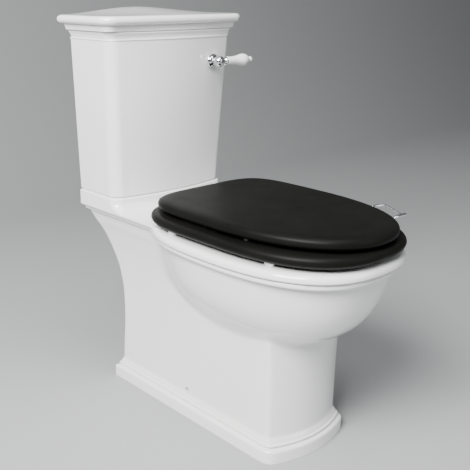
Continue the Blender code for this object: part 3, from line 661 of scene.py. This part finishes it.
# (level, half width, front reach, rear reach, centre) of the inside of the bowl
BASIN = [
    (200, 38, 38, 42, 445), (206, 45, 49, 50, 445), (212, 52, 60, 58, 445), (232, 73, 96, 82, 445),
    (247, 87, 117, 94, 444), (262, 99, 136, 104, 443), (281, 112, 156, 120, 438), (300, 122, 172, 134, 434),
    (325, 132, 189, 151, 428), (350, 138, 202, 164, 424), (362, 139.5, 205, 166, 423),
    (369, 139, 204.5, 165.5, 423), (373.5, 136, 201, 162.5, 423), (376.5, 130.5, 194.5, 156.5, 423),
    (379, 126.5, 190.5, 152.5, 423), (384, 124, 188, 150, 423), (390, 123.2, 187.2, 149.2, 423),
    (394.5, 123.8, 187.8, 149.8, 423), (397.4, 125.4, 189.4, 151.4, 423), (399.2, 128, 192, 154, 423),
    (400.3, 132, 196, 158, 423), (404, 146, 210, 172, 423),
]


def trap_route():
    bends = [
        (442, 225), (433, 180), (408, 152), (370, 142), (332, 153), (305, 186), (285, 220), (255, 240),
        (222, 228), (195, 201), (165, 184), (130, OUTLET_LEVEL), (95, OUTLET_LEVEL),
    ]
    return smooth_path([(0, at(d), z) for d, z in bends], 5)


def build_pan():
    pan = look("pan", pan_skin(), GLAZE)
    join(pan, shelf_block())
    cut(pan, pan_hollow())
    route = trap_route()
    end, mouth = Vector((0, at(62.0), OUTLET_LEVEL)), Vector((0, at(40.0), OUTLET_LEVEL))
    spigot = [TRAP_BORE + TRAP_WALL] * len(route) + [TRAP_BORE + TRAP_WALL, TRAP_BORE + TRAP_WALL - 1.5]
    route_out = [*route, end + Vector((0, -2.0, 0)), end]
    join(pan, bowl_body(), tube(route_out, spigot, sides=48), box((-58, at(292), 354), (58, at(26), 399)))
    basin = loft([oval(z, half, front, rear, (2.3, 2.3), centre) for z, half, front, rear, centre in BASIN])
    cut(pan, basin, tube([*route, mouth], TRAP_BORE, sides=48))
    flush_way = box((-28, at(285), 366), (28, at(52), 388))
    inlet = turned([(28, 380), (28, 404), (46, 404.2), (46, 440)], (0, at(VALVE_DEPTH), 0), soft=0)
    cut(pan, flush_way, inlet)
    for side in (-1, 1):
        low, high = sorted((side * 60, side * 126))
        side_spot = (side * 95, at(SIDE_HOLE_DEPTH), SIDE_HOLE_LEVEL)
        cut(
            pan,
            rod(22, 236, 378, (side * HINGE_X, at(HINGE_DEPTH), 0), soft=0),
            rod(7, 370, 410, (side * HINGE_X, at(HINGE_DEPTH), 0), soft=0),
            box((low, at(150), 370), (high, at(-40), 404)),
            rod(6, 395, 440, (side * COUPLING_X, at(VALVE_DEPTH), 0), soft=0),
            rod(SIDE_HOLE_RADIUS + 0.9, -30, 30, side_spot, "X", soft=0),
        )
    cut(pan, rod(17, 395, 440, (FILL_X, at(FILL_DEPTH), 0), soft=0))
    finished(pan)


# ---- cistern


def tank_outline(level, inset=0.0, **fine):
    share = (level - TANK_FROM) / (TANK_TO - TANK_FROM)
    return bowed(level, **between(TANK_BASE, TANK_TOP, share), inset=inset, **fine)


def seam_outline(level, inset=0.0):
    return bowed(level, **SEAM, inset=inset)


def build_tank():
    base = [(SHELF_TOP + GAP, 3.4), (428.7, 2.2), (429.6, 1.1), (431.0, 0.35), (433.0, 0.0)]
    rings = [tank_outline(z, inset) for z, inset in base]
    rings += [tank_outline(z) for z in (470.0, 520.0, 580.0, 640.0, 700.0, 730.0, 737.0)]
    bead = [(738.4, 0.0), (739.0, -0.3), (739.6, -0.8), (740.4, -1.1), (741.2, -1.0), (741.8, -0.6)]
    rings += [tank_outline(z, inset) for z, inset in bead]
    cove = [(742.4, 5.2), (743.4, 4.9), (745.2, 4.5), (747.4, 3.9), (749.4, 3.1), (751.2, 2.3), (752.6, 1.5)]
    rings += [seam_outline(z, inset) for z, inset in cove]
    rings += [seam_outline(z, inset) for z, inset in ((753.6, 1.2), (754.8, 1.3), (TANK_SEAM - GAP, 2.2))]
    tank = look("cistern_tank", loft(rings), GLAZE)
    inside = [(TANK_FLOOR, 17.0), (441.2, 13.4), (443.4, 11.0), (447.0, 9.6)]
    inside += [(z, TANK_WALL) for z in (452.0, 740.0, 770.0)]
    cut(tank, loft([tank_outline(z, inset, spans=24) for z, inset in inside]))
    cut(tank, rod(31, 420, 450, (0, at(VALVE_DEPTH), 0), soft=0))
    cut(tank, rod(11, 420, 450, (FILL_X, at(FILL_DEPTH), 0), soft=0))
    cut(tank, rod(7, -190, -130, (LEVER_X, WALL_Y, LEVER_LEVEL), "Y", soft=0))
    for side in (-1, 1):
        cut(tank, rod(6, 420, 450, (side * COUPLING_X, at(VALVE_DEPTH), 0), soft=0))
        cut(tank, rod(3.5, -40, 0, (side * WALL_SCREW_X, WALL_Y, WALL_SCREW_LEVEL), "Y", soft=0))
    finished(tank)


def crown_level(x, y, edge_level):
    """Height of the lid's domed top, which rises to a soft ridge near the back."""
    across = min(abs(x) / (LID_EDGE["half"] - 8.0), 1.0)
    front = at(LID_EDGE["front"] + LID_EDGE["bow"] * (1 - across**2) - 8.0)
    along = (y - front) / (at(LID_EDGE["rear"]) - front)
    ahead = max(1 - along / CROWN_RIDGE, 0) if along < CROWN_RIDGE else 0.0
    behind = min(max(along - CROWN_RIDGE, 0) / (1 - CROWN_RIDGE), 1)
    fall = (math.sqrt(ahead**2 + 0.0144) - 0.12) / 0.8871 + behind**3
    return edge_level + (LID_CROWN - edge_level) * max(1 - across**1.79, 0) ** 1.56 * max(1 - fall, 0)


def build_cistern_lid():
    rings = [seam_outline(z, inset) for z, inset in ((TANK_SEAM, 2.2), (756.2, 0.6))]
    band = [
        (756.4, 13.4), (756.8, 12.5), (757.6, 12), (759.6, 11.6), (762.4, 11), (764.8, 10.3), (766.2, 9.9),
        (766.9, 10.1), (767.4, 10.7), (767.9, 10.5), (768.3, 9), (768.6, 7.2), (769.1, 5.4), (769.9, 3.7),
        (771.1, 2.1), (772.8, 0.9), (774.8, 0.25), (777, 0), (779.2, 0.25), (781.2, 1), (782.8, 2.2),
        (784, 3.8), (784.7, 5.6), (785.1, 7.6),
    ]
    rings += [bowed(z, **LID_EDGE, inset=inset) for z, inset in band]
    edge = bowed(785.3, **LID_EDGE, inset=10.0)
    middle = at(LID_EDGE["front"] * (1 - CROWN_RIDGE))
    for share in [1.0, 0.985, 0.965, 0.94, 0.91, *np.linspace(0.88, 0.02, 40)]:
        ring = [(x * share, middle + (y - middle) * share) for x, y, _ in edge]
        rings.append([(x, y, crown_level(x, y, 785.3)) for x, y in ring])
    lid = look("cistern_lid", loft(rings), GLAZE)
    few = dict(spans=20, steps=5)
    hollow = [bowed(z, 146.0, 32.0, 136.0, 20.0, 12.0, **few) for z in (750.0, 770.0)]
    hollow.append(bowed(777.0, 143.0, 35.0, 133.0, 20.0, 10.0, **few))
    hollow.append(bowed(781.0, 136.0, 42.0, 126.0, 20.0, 8.0, **few))
    cut(lid, loft(hollow))
    lip = make("lip", loft([bowed(z, 145.0, 31.5, 135.0, 20.0, 12.0, **few) for z in (745.0, 758.0)]), GLAZE)
    cut(lip, loft([bowed(z, 139.0, 37.5, 129.0, 20.0, 8.0, **few) for z in (740.0, 760.0)]))
    join(lid, taken(lip))
    finished(lid, "cistern_lid")


# ---- seat


def arcs(points, steps=4):
    """A closed cross-section made smooth."""
    spots = [Vector((a, b, 0)) for a, b in points]
    count = len(spots)
    made = []
    for i in range(count):
        near = [spots[(i + k) % count] for k in (-1, 0, 1, 2)]
        for k in range(steps):
            point = catmull_rom(*near, k / steps)
            made.append((point.x, point.y))
    return made


def ring_sections(sides=200):
    outsides = even(oval(0, RING_HALF, RING_FRONT, RING_REAR, RING_POWERS, sides=720), sides)
    sections = []
    for x, y, _ in outsides:
        angle = math.atan2(y - at(BOWL_CENTRE), x)
        cosine, sine = math.cos(angle), math.sin(angle)
        reach = HOLE_REAR if sine > 0 else HOLE_FRONT
        hole = (abs(cosine / HOLE_HALF) ** 2.2 + abs(sine / reach) ** 2.2) ** (-1 / 2.2)
        span = Vector((hole * cosine - x, hole * sine + at(BOWL_CENTRE) - y))
        width, inward = span.length, span.normalized()
        profile = [
            (17, 406.5), (10.5, 407.3), (5.8, 409.1), (2.4, 412), (0.5, 415.4), (0, 418.6), (0.6, 421.8),
            (2.4, 424.8), (5.6, 427.1), (10.4, 428.2), (16, 428.5), (width * 0.55, 427.7),
            (width - 12, 425.3), (width - 5, 422.1), (width - 1.2, 418.3), (width, 414.1),
            (width - 1.8, 409.7), (width - 5.6, 407.1), (width - 10, 406.5), (width * 0.5, 406.5),
        ]
        sections.append([(x + inward.x * d, y + inward.y * d, z) for d, z in arcs(profile, 3)])
    return sections


def handle_path():
    path = [
        (156, 492, 415), (182, 499, 416), (191, 504, 423), (201, 508, 429), (213, 513, 430.5),
        (220, 515.6, 430.5), (223.4, 518.4, 430.5), (223.4, 523, 430.5), (208, 550, 430.5),
        (193.2, 575.6, 430.4), (190, 578.9, 430.2), (185, 580.2, 430), (178, 579.8, 429.4),
        (171.5, 578, 426), (165.5, 575.4, 419), (157, 571.5, 415.4), (143, 566, 415),
    ]
    return smooth_path([(x, at(d), z) for x, d, z in path], 5)


def build_seat_ring():
    ring = look("seat_ring", loft(ring_sections(), closed=True), BLACK)
    for side in (-1, 1):
        low, high = sorted((side * 51, side * 105))
        cut(ring, box((low, at(254), 400), (high, at(190), 432)))
    cut(ring, tube(handle_path(), 2.6 + GAP))
    for side in (-1, 1):
        low, high = sorted((side * 87.2, side * 100))
        arm = [(-30.0, -29.0), (-30.0, -10.0), (-9.0, 6.0), (0.0, 8.0), (6.0, 5.3), (8.0, 0.0), (5.0, -6.5)]
        arm = rounded(arm, [0, 3, 6, 5, 4, 5, 4], 5)
        arm = [(at(HINGE_DEPTH) + y, HINGE_LEVEL + z) for y, z in arm]
        join(ring, loft([[(x, y, z) for y, z in arm] for x in (low, high)]))
        cut(ring, rod(PIN_RADIUS + GAP, -20, 20, (side * 93.6, at(HINGE_DEPTH), HINGE_LEVEL), "X", soft=0))
    finished(ring, "seat_ring", edge=0.8, angle=40)


def build_seat_lid():
    def outline(level, inset, sides=176):
        size = [reach - inset for reach in (COVER_HALF, COVER_FRONT, COVER_REAR)]
        return oval(level, *size, COVER_POWERS, sides=sides)

    profile = [
        (435, 7.4), (435.3, 5.2), (436.3, 3.2), (438, 1.5), (440.4, 0.4), (443.4, 0), (446.4, 0.3),
        (449, 1.3), (451.4, 3.2), (453.2, 5.8), (454.5, 9.2), (455.3, 13.6), (COVER_TOP, 20),
    ]
    rings = [outline(level, inset) for level, inset in profile]
    for inset in np.linspace(28.0, 151.0, 22):
        out = (COVER_HALF - inset) / (COVER_HALF - 20.0)
        rings.append(outline(COVER_TOP + COVER_CROWN * (1 - out**2), inset))
    lid = look("seat_lid", loft(rings), BLACK)
    under = [(430.0, 20.0), (441.0, 20.6), (444.4, 22.4), (446.4, 26.0), (447.0, 32.0)]
    cut(lid, loft([outline(level, inset, 96) for level, inset in under]))
    for side in (-1, 1):
        low, high = sorted((side * 68.6, side * 102.0))
        cut(lid, box((low, at(248), 430), (high, at(200), 446.5)))
        low, high = sorted((side * 55, side * 68))
        lug = [(-30.0, 13.0), (-20.0, 3.0), (-6.5, -4.7), (0.0, -8.0), (6.0, -5.3), (8.0, 0.0), (5.3, 6.0)]
        lug = rounded([*lug, (-3.0, 9.4), (-10.0, 13.0)], [0, 5, 4, 4, 4, 5, 4, 4, 0], 5)
        lug = [(at(HINGE_DEPTH) + y, HINGE_LEVEL + z) for y, z in lug]
        join(lid, loft([[(x, y, z) for y, z in lug] for x in (low, high)]))
        low, high = sorted((side * 57.5, side * 80))
        cut(lid, rod(PIN_RADIUS + GAP, low, high, (0, at(HINGE_DEPTH), HINGE_LEVEL), "X", soft=0))
    finished(lid, "seat_lid", edge=0.8, angle=40)


def wing_nut(node, x, y, low, high, hole, hub, reach, finish):
    """A nut with two wings along Y, for use by hand."""
    nut = look(node, turned([(hub, low), (hub, high - 4), (hub - 1.2, high)], (x, y, 0), soft=0.8), finish)
    for side in (-1, 1):
        wing = [
            (side * (hub - 3), low), (side * (reach - 3), low - 4), (side * reach, low - 2),
            (side * (reach - 1), high - 8), (side * (hub - 3), high - 4.6),
        ]
        wing = rounded(wing, [0, 2, 2, 3, 0], 4)
        join(nut, loft([[(x + w, y + v, z) for v, z in wing] for w in (-2.3, 2.3)]))
    cut(nut, rod(hole, low - 10, high + 10, (x, y, 0), soft=0))
    return nut


def build_hinges():
    for side, word in SIDES:
        x, y = side * HINGE_X, at(HINGE_DEPTH)
        top = HINGE_LEVEL + 7.0
        profile = [
            (9, 400.3), (19.6, 400.3), (20, 401.2), (19.6, 402.4), (17.6, 403.5), (13, 405.2), (9.6, 407.6),
            (8, 410.6), (7.2, 414.6), (7, 419), (7, 428), (7.4, 430.4), (7.8, 433), (7.8, 438.6),
            (7.2, 440.8), (5.6, 442.4), (3.6, top), (0.5, top),
        ]
        post = look("hinge_post_" + word, turned(profile, (x, y, 0), soft=0.4), CHROME)
        cut(post, rod(PIN_RADIUS, -20, 20, (x, y, HINGE_LEVEL), "X", soft=0))
        cut(post, rod(3.3, 395, 424, (x, y, 0), soft=0))
        finished(post)
        low, high = sorted((side * 58, side * 101))
        piece("hinge_pin_" + word, rod(3.7, low, high, (0, y, HINGE_LEVEL), "X", soft=0.6), STEEL)
        piece("seat_bolt_" + word, threaded(3.0, 340, 423, (x, y, 0), 1.25), STEEL, angle=60)
        piece("seat_bolt_washer_" + word, washer(15, 3.3, 374.2, 377.7, (x, y, 0)), RUBBER)
        nut = wing_nut("seat_wing_nut_" + word, x, y, 358, 373.9, 3.3, 7.5, 16, WHITE)
        finished(nut, edge=0.5, angle=40)


def build_buffers():
    spots = {
        "front_left": (-139.0, 556.0), "front_right": (139.0, 556.0),
        "rear_left": (-150.0, 322.0), "rear_right": (150.0, 322.0),
    }
    for word, (x, depth) in spots.items():
        pad = [(-5.0, -9.0), (5.0, -9.0), (5.0, 9.0), (-5.0, 9.0)]
        rings = []
        for level, inset in ((RIM_TOP + GAP, 1.2), (400.6, 0.5), (401.2, 0.1), (402.0, 0.0), (406.2, 0.0)):
            corners = [(u - math.copysign(inset, u), v - math.copysign(inset, v)) for u, v in pad]
            rings.append([(x + u, at(depth) + v, level) for u, v in rounded(corners, [4.4 - inset] * 4, 8)])
        piece("seat_buffer_" + word, loft(rings), BUFFER, "seat_ring")
    for side, word in SIDES:
        profile = [(5.5, 434.7), (5.5, 431.4), (5.2, 430.2), (4.3, 429.2), (2.8, 428.6)]
        piece("lid_buffer_" + word, turned(profile, (side * 135.3, at(500.0), 0)), RUBBER, "seat_lid")
    path = handle_path()
    radii = []
    for x, y, _ in path:
        slim = float(np.interp(WALL_Y - y, [515, 520, 574, 579], [2.6, 1.8, 1.8, 2.7]))
        radii.append(2.7 if x < 187.0 else slim)
    handle = look("seat_handle", tube(path, radii, 24), CHROME)
    near_bar = [(182.0, 580.0), (200.4, 581.2), (201.6, 581.3), (202.2, 581.35)]
    near_bar = [(x, at(d), 430.0) for x, d in near_bar]
    join(handle, tube(near_bar, [2.4, 2.9, 2.5, 1.6], 24))
    finished(handle, "seat_ring", angle=45)


# ---- flush lever and linkage


def build_lever():
    pivot = (LEVER_X, at(LEVER_DEPTH), LEVER_LEVEL)
    face = at(161.0)
    on_axis = (LEVER_X, 0, LEVER_LEVEL)
    rose = [
        (5.3, face - 1.2), (13.6, face - 1.2), (14.2, face - 1.9), (14.2, face - 3.4), (13.7, face - 4.3),
        (12.4, face - 5), (11.4, face - 5.7), (10.4, face - 6.9), (9, face - 8.2), (7.5, face - 9.1),
        (6.4, face - 9.5), (5.3, face - 9.5),
    ]
    piece("lever_rose", turned(rose, on_axis, "Y", 64, True, 0.3), CHROME, angle=50)

    hub = [
        (4, 12.6), (5.2, 12.5), (6.2, 11.4), (7.6, 9.6), (9.2, 7.4), (10.5, 4.6), (11.3, 1.6), (11.45, -1.4),
        (10.9, -4.2), (9.6, -6.8), (7.6, -9), (5, -10.3), (2.4, -10.8), (0.4, -10.8),
    ]
    ball = look("lever_hub", turned(hub, pivot, "Y", 64, curve=3), CHROME)
    collar = [
        (6.4, 6), (6.6, 10), (6.9, 12), (7.8, 13), (8.9, 14), (9.2, 15.2), (9.2, 17.6), (8.9, 18.6),
        (8.2, 19.5),
    ]
    join(ball, turned(collar, pivot, "X", 64, soft=0.3))
    finished(ball, "flush_lever", angle=40)

    grip = [
        (7.2, 19.8), (8.3, 20.4), (8.8, 21.6), (8.7, 23.4), (8.4, 26), (8.4, 32), (8.6, 38), (9, 44),
        (9.8, 50), (10.9, 55.5), (12, 60.5), (12.6, 64.5), (12.6, 68), (11.8, 72.4), (10.3, 76.2),
        (8.3, 79.6), (6.6, 81.7), (5.2, 83),
    ]
    piece("lever_grip", turned(grip, pivot, "X", 64, curve=3), LEVER_GLAZE, "flush_lever", angle=60)
    tip = [
        (4.4, 83.3), (5, 83.9), (5.7, 85.3), (6, 87.2), (5.9, 89), (5.2, 91.2), (3.9, 93.2), (2.2, 94.4),
        (0.4, 94.6),
    ]
    piece("lever_tip", turned(tip, pivot, "X", 48, curve=3), LEVER_GLAZE, "flush_lever", angle=60)

    spindle = rod(4.5, pivot[1] + 12.9, at(122.0), on_axis, "Y", soft=0.5)
    piece("lever_spindle", spindle, BRASS, "flush_lever")
    inner = at(145.0)
    gasket = washer(13, 5.2, inner + 0.3, inner + 2.5, on_axis, "Y")
    piece("lever_washer", gasket, RUBBER)
    nut = look("lever_backnut", hexagon(19, inner + 2.8, inner + 9.5, on_axis, "Y"), BRASS)
    cut(nut, rod(5.2, inner - 5, inner + 20, on_axis, "Y", soft=0))
    finished(nut, edge=0.5)

    far = at(VALVE_DEPTH)
    blade = [(96, at(132)), (92, at(123)), (20, far + 8), (-10, far + 8), (-10, far - 8), (24, far - 8)]
    blade = rounded(blade, [0, 0, 6, 6, 6, 6], 5)
    arm = look("lift_arm", loft([[(x, y, LEVER_LEVEL + z) for x, y in blade] for z in (-2, 2)]), GREY)
    join(arm, rod(9, at(134.0), at(122.4), on_axis, "Y", soft=0.5))
    cut(arm, rod(4.8, at(140.0), at(116.0), on_axis, "Y", soft=0))
    cut(arm, box((-4, far - 3, LEVER_LEVEL - 8), (9, far + 3, LEVER_LEVEL + 8)))
    finished(arm, "flush_lever", edge=0.5, angle=40)


def build_flush_valve():
    y = at(VALVE_DEPTH)
    spot = (0, y, 0)
    low = TANK_FLOOR
    body = [
        (22, 404.6), (27.4, 404.6), (29, 407), (29, low + 3.4), (38, low + 3.4), (38, low + 9),
        (30, low + 10.6), (27, low + 12), (22, low + 12),
    ]
    valve = look("flush_valve_body", turned(body, spot, hollow=True, sides=64), GREY)
    for k in range(4):
        angle = math.pi / 4 + k * math.pi / 2
        leg = (30 * math.cos(angle), y + 30 * math.sin(angle), 0)
        join(valve, rod(4.0, low + 6, 534, leg, sides=24, soft=0))
    join(valve, washer(35, 17.2, 532, 545, spot, sides=64, soft=1.0))
    finished(valve, edge=0.4, angle=45)
    moving = [(12, 456.5), (16, 456.5), (16, 622), (17.5, 623), (17.5, 628), (12, 628)]
    piece("flush_valve_tube", turned(moving, spot, hollow=True), WHITE, "flush_valve")
    piece("flush_valve_seal", washer(25, 12, 452.4, 456.2, spot, soft=1.2), RUBBER, "flush_valve")
    link = look("lift_link", rod(1.8, 628.3, 698, (6, y, 0), sides=24), BRASS)
    join(link, turned([(2, 693.6), (6, 694.4), (6, 699), (3, 702)], (6, y, 0), sides=32))
    join(link, turned([(17, 628.3), (17, 631.5)], spot, sides=48))
    cut(link, turned([(11.5, 620), (11.5, 640)], (-9, y, 0), sides=40, soft=0))
    finished(link, "flush_valve", edge=0.3, angle=40)
    gasket = washer(38, 29.3, low + 0.3, low + 3.1, spot, sides=64)
    piece("flush_valve_washer", gasket, RUBBER)
    piece("flush_valve_backnut", washer(37, 29.3, 411.5, SHELF_TOP - 0.2, spot, sides=64), GREY)
    doughnut = washer(44, 29.3, 404.5, 411.2, spot, sides=64, soft=2.6)
    piece("coupling_doughnut", doughnut, RUBBER)


def build_fill_valve():
    spot = (FILL_X, at(FILL_DEPTH), 0)
    low = TANK_FLOOR
    body = [
        (3.5, 372), (9.5, 372), (9.5, low + 3.3), (17, low + 3.3), (17, low + 10), (12, low + 14), (12, 640),
        (3.5, 640),
    ]
    valve = look("fill_valve_body", turned(body, spot, sides=48, hollow=True), GREY)
    join(valve, washer(15, 8, 533, 537, spot))
    finished(valve, edge=0.3, angle=45)
    cap = [(3.0, 640.4), (19, 640.4), (21, 644), (21, 658), (17, 664), (6, 666), (3.0, 666)]
    piece("fill_valve_cap", turned(cap, spot, hollow=True, soft=1.2), WHITE)
    profile = [
        (16, 537.6), (24, 537.6), (25, 540), (25, 596), (23, 599), (16, 599), (12.8, 597), (12.8, 539.6),
    ]
    piece("fill_valve_float", turned(profile, spot, hollow=True, soft=1.0), WHITE, "fill_float")
    gasket = washer(16, 9.8, low + 0.3, low + 3.0, spot)
    piece("fill_valve_washer", gasket, RUBBER)
    nut = look("fill_valve_backnut", hexagon(27, 414.0, SHELF_TOP - 0.2, spot), GREY)
    cut(nut, rod(9.8, 400, 440, spot, soft=0))
    finished(nut, edge=0.6)


# ---- fixings


def build_fixings():
    low = TANK_FLOOR
    for side, word in SIDES:
        x, y = side * COUPLING_X, at(VALVE_DEPTH)
        spot = (x, y, 0)
        bolt = look("coupling_bolt_" + word, threaded(3.9, 380, low + 5.2, spot, 1.5), STEEL)
        join(bolt, hexagon(13, low + 5.0, low + 10.5, spot))
        finished(bolt, angle=60)
        cone = [(4.2, low + 0.3), (11, low + 0.3), (12.5, low + 4.6), (4.2, low + 4.6)]
        seal = turned(cone, spot, hollow=True, soft=0.8)
        piece("coupling_seal_" + word, seal, RUBBER)
        disc = washer(12, 4.2, 401.4, 403.7, spot)
        piece("coupling_washer_" + word, disc, STEEL)
        nut = wing_nut("coupling_wing_nut_" + word, x, y, 390, 401.1, 4.2, 8, 17, BRASS)
        finished(nut, edge=0.4, angle=40)

        y = at(SIDE_HOLE_DEPTH)
        inner = side * 81.5
        floor_spot = (inner - side * 12, y, 0)
        near, far = sorted((inner, inner - side * 18))
        bracket = look("floor_bracket_" + word, box((near, y - 22, 0.2), (far, y + 22, 74)), WHITE)
        near, far = sorted((inner - side * 6, inner - side * 30))
        cut(bracket, box((near, y - 16, 8), (far, y + 16, 90)))
        cut(bracket, rod(3.2, -40, 40, (inner, y, SIDE_HOLE_LEVEL), "X", soft=0))
        cut(bracket, rod(3.0, -5, 20, floor_spot, soft=0))
        finished(bracket, edge=0.8)
        near, far = sorted((inner - side * 14, inner + side * 7.5))
        screw = threaded(2.9, near, far, (0, y, SIDE_HOLE_LEVEL), 1.8, "X")
        # The screw head carries the painted shade of the side hole: its steel is coloured dark
        screw = look("side_screw_" + word, screw, HOLE_SHADE_STEEL)
        near, far = sorted((inner + side * 0.6, inner + side * 7.4))
        join(screw, rod(4.5, near, far, (0, y, SIDE_HOLE_LEVEL), "X", soft=0.6))
        finished(screw, angle=60)
        screw = look("floor_screw_" + word, threaded(2.7, 0.5, 12, floor_spot, 1.8), STEEL)
        join(screw, turned([(2.7, 8.3), (5.5, 8.3), (4.6, 12.5), (2.0, 13.4)], floor_spot))
        finished(screw, angle=60)

        spot = (side * WALL_SCREW_X, 0, WALL_SCREW_LEVEL)
        face = at(24.6)
        screw = look("wall_screw_" + word, threaded(2.7, face - 3.0, at(12.0), spot, 1.8, "Y"), STEEL)
        head = [(2.0, face - 6.6), (4.6, face - 5.6), (5.5, face - 2.8), (2.7, face - 2.8)]
        join(screw, turned(head, spot, "Y"))
        finished(screw, angle=60)
        disc = washer(8, 3.0, face - 2.5, face - 0.4, spot, "Y")
        piece("wall_screw_washer_" + word, disc, RUBBER)


# ---- studio


def build_studio():
    world = bpy.data.worlds.new("studio")
    bpy.context.scene.world = world
    world.use_nodes = True
    background = world.node_tree.nodes["Background"]
    background.inputs["Color"].default_value = (0.86, 0.88, 0.90, 1.0)
    background.inputs["Strength"].default_value = 0.19

    # A floor that rises in one wide curve, well behind the object
    bend, start = 1200.0, 1300.0
    profile = [(-7000.0, 0.0), (start, 0.0)]
    for k in range(1, 25):
        angle = math.pi / 2 * k / 24
        profile.append((start + bend * math.sin(angle), bend * (1 - math.cos(angle))))
    profile.append((start + bend, 6000.0))
    points = [(x, y, z) for y, z in profile for x in (-7000.0, 7000.0)]
    faces = [(2 * k, 2 * k + 1, 2 * k + 3, 2 * k + 2) for k in range(len(profile) - 1)]
    floor = Finish("studio_paper")
    floor.set(Base_Color=(0.34, 0.345, 0.35, 1.0), Roughness=0.9)
    make("backdrop", (points, faces), floor.material)

    def light(name, spot, target, size, power, colour=(1.0, 1.0, 1.0)):
        lamp = bpy.data.lights.new(name, "AREA")
        lamp.shape = "RECTANGLE"
        lamp.size, lamp.size_y = size
        lamp.energy = power
        lamp.color = colour
        holder = bpy.data.objects.new(name, lamp)
        holder.location = spot
        holder.rotation_euler = (Vector(target) - Vector(spot)).to_track_quat("-Z", "Y").to_euler()
        bpy.context.scene.collection.objects.link(holder)

    light("key", (-2.1, -1.0, 2.3), (0.0, -0.2, 0.35), (1.5, 1.3), 290.0, (1.0, 0.995, 0.985))
    light("top", (-0.3, -0.9, 2.6), (0.0, -0.2, 0.4), (1.2, 1.2), 30.0)
    light("front", (0.9, -2.7, 1.3), (0.0, -0.3, 0.35), (0.8, 1.8), 14.0, (0.97, 0.985, 1.0))


def build_camera():
    lens = bpy.data.cameras.new("camera")
    lens.sensor_width = 36.0
    lens.lens = 59.80
    lens.shift_x, lens.shift_y = 0.1059, -0.0160
    camera = bpy.data.objects.new("camera", lens)
    camera.location = (-1.0270, -1.2980, 0.8315)
    camera.rotation_euler = (math.pi / 2 - 0.29521, 0.0, -0.70909)
    bpy.context.scene.collection.objects.link(camera)
    bpy.context.scene.camera = camera


build_pan()
build_tank()
build_cistern_lid()
build_seat_ring()
build_seat_lid()
build_hinges()
build_buffers()
build_lever()
build_flush_valve()
build_fill_valve()
build_fixings()
build_studio()
build_camera()
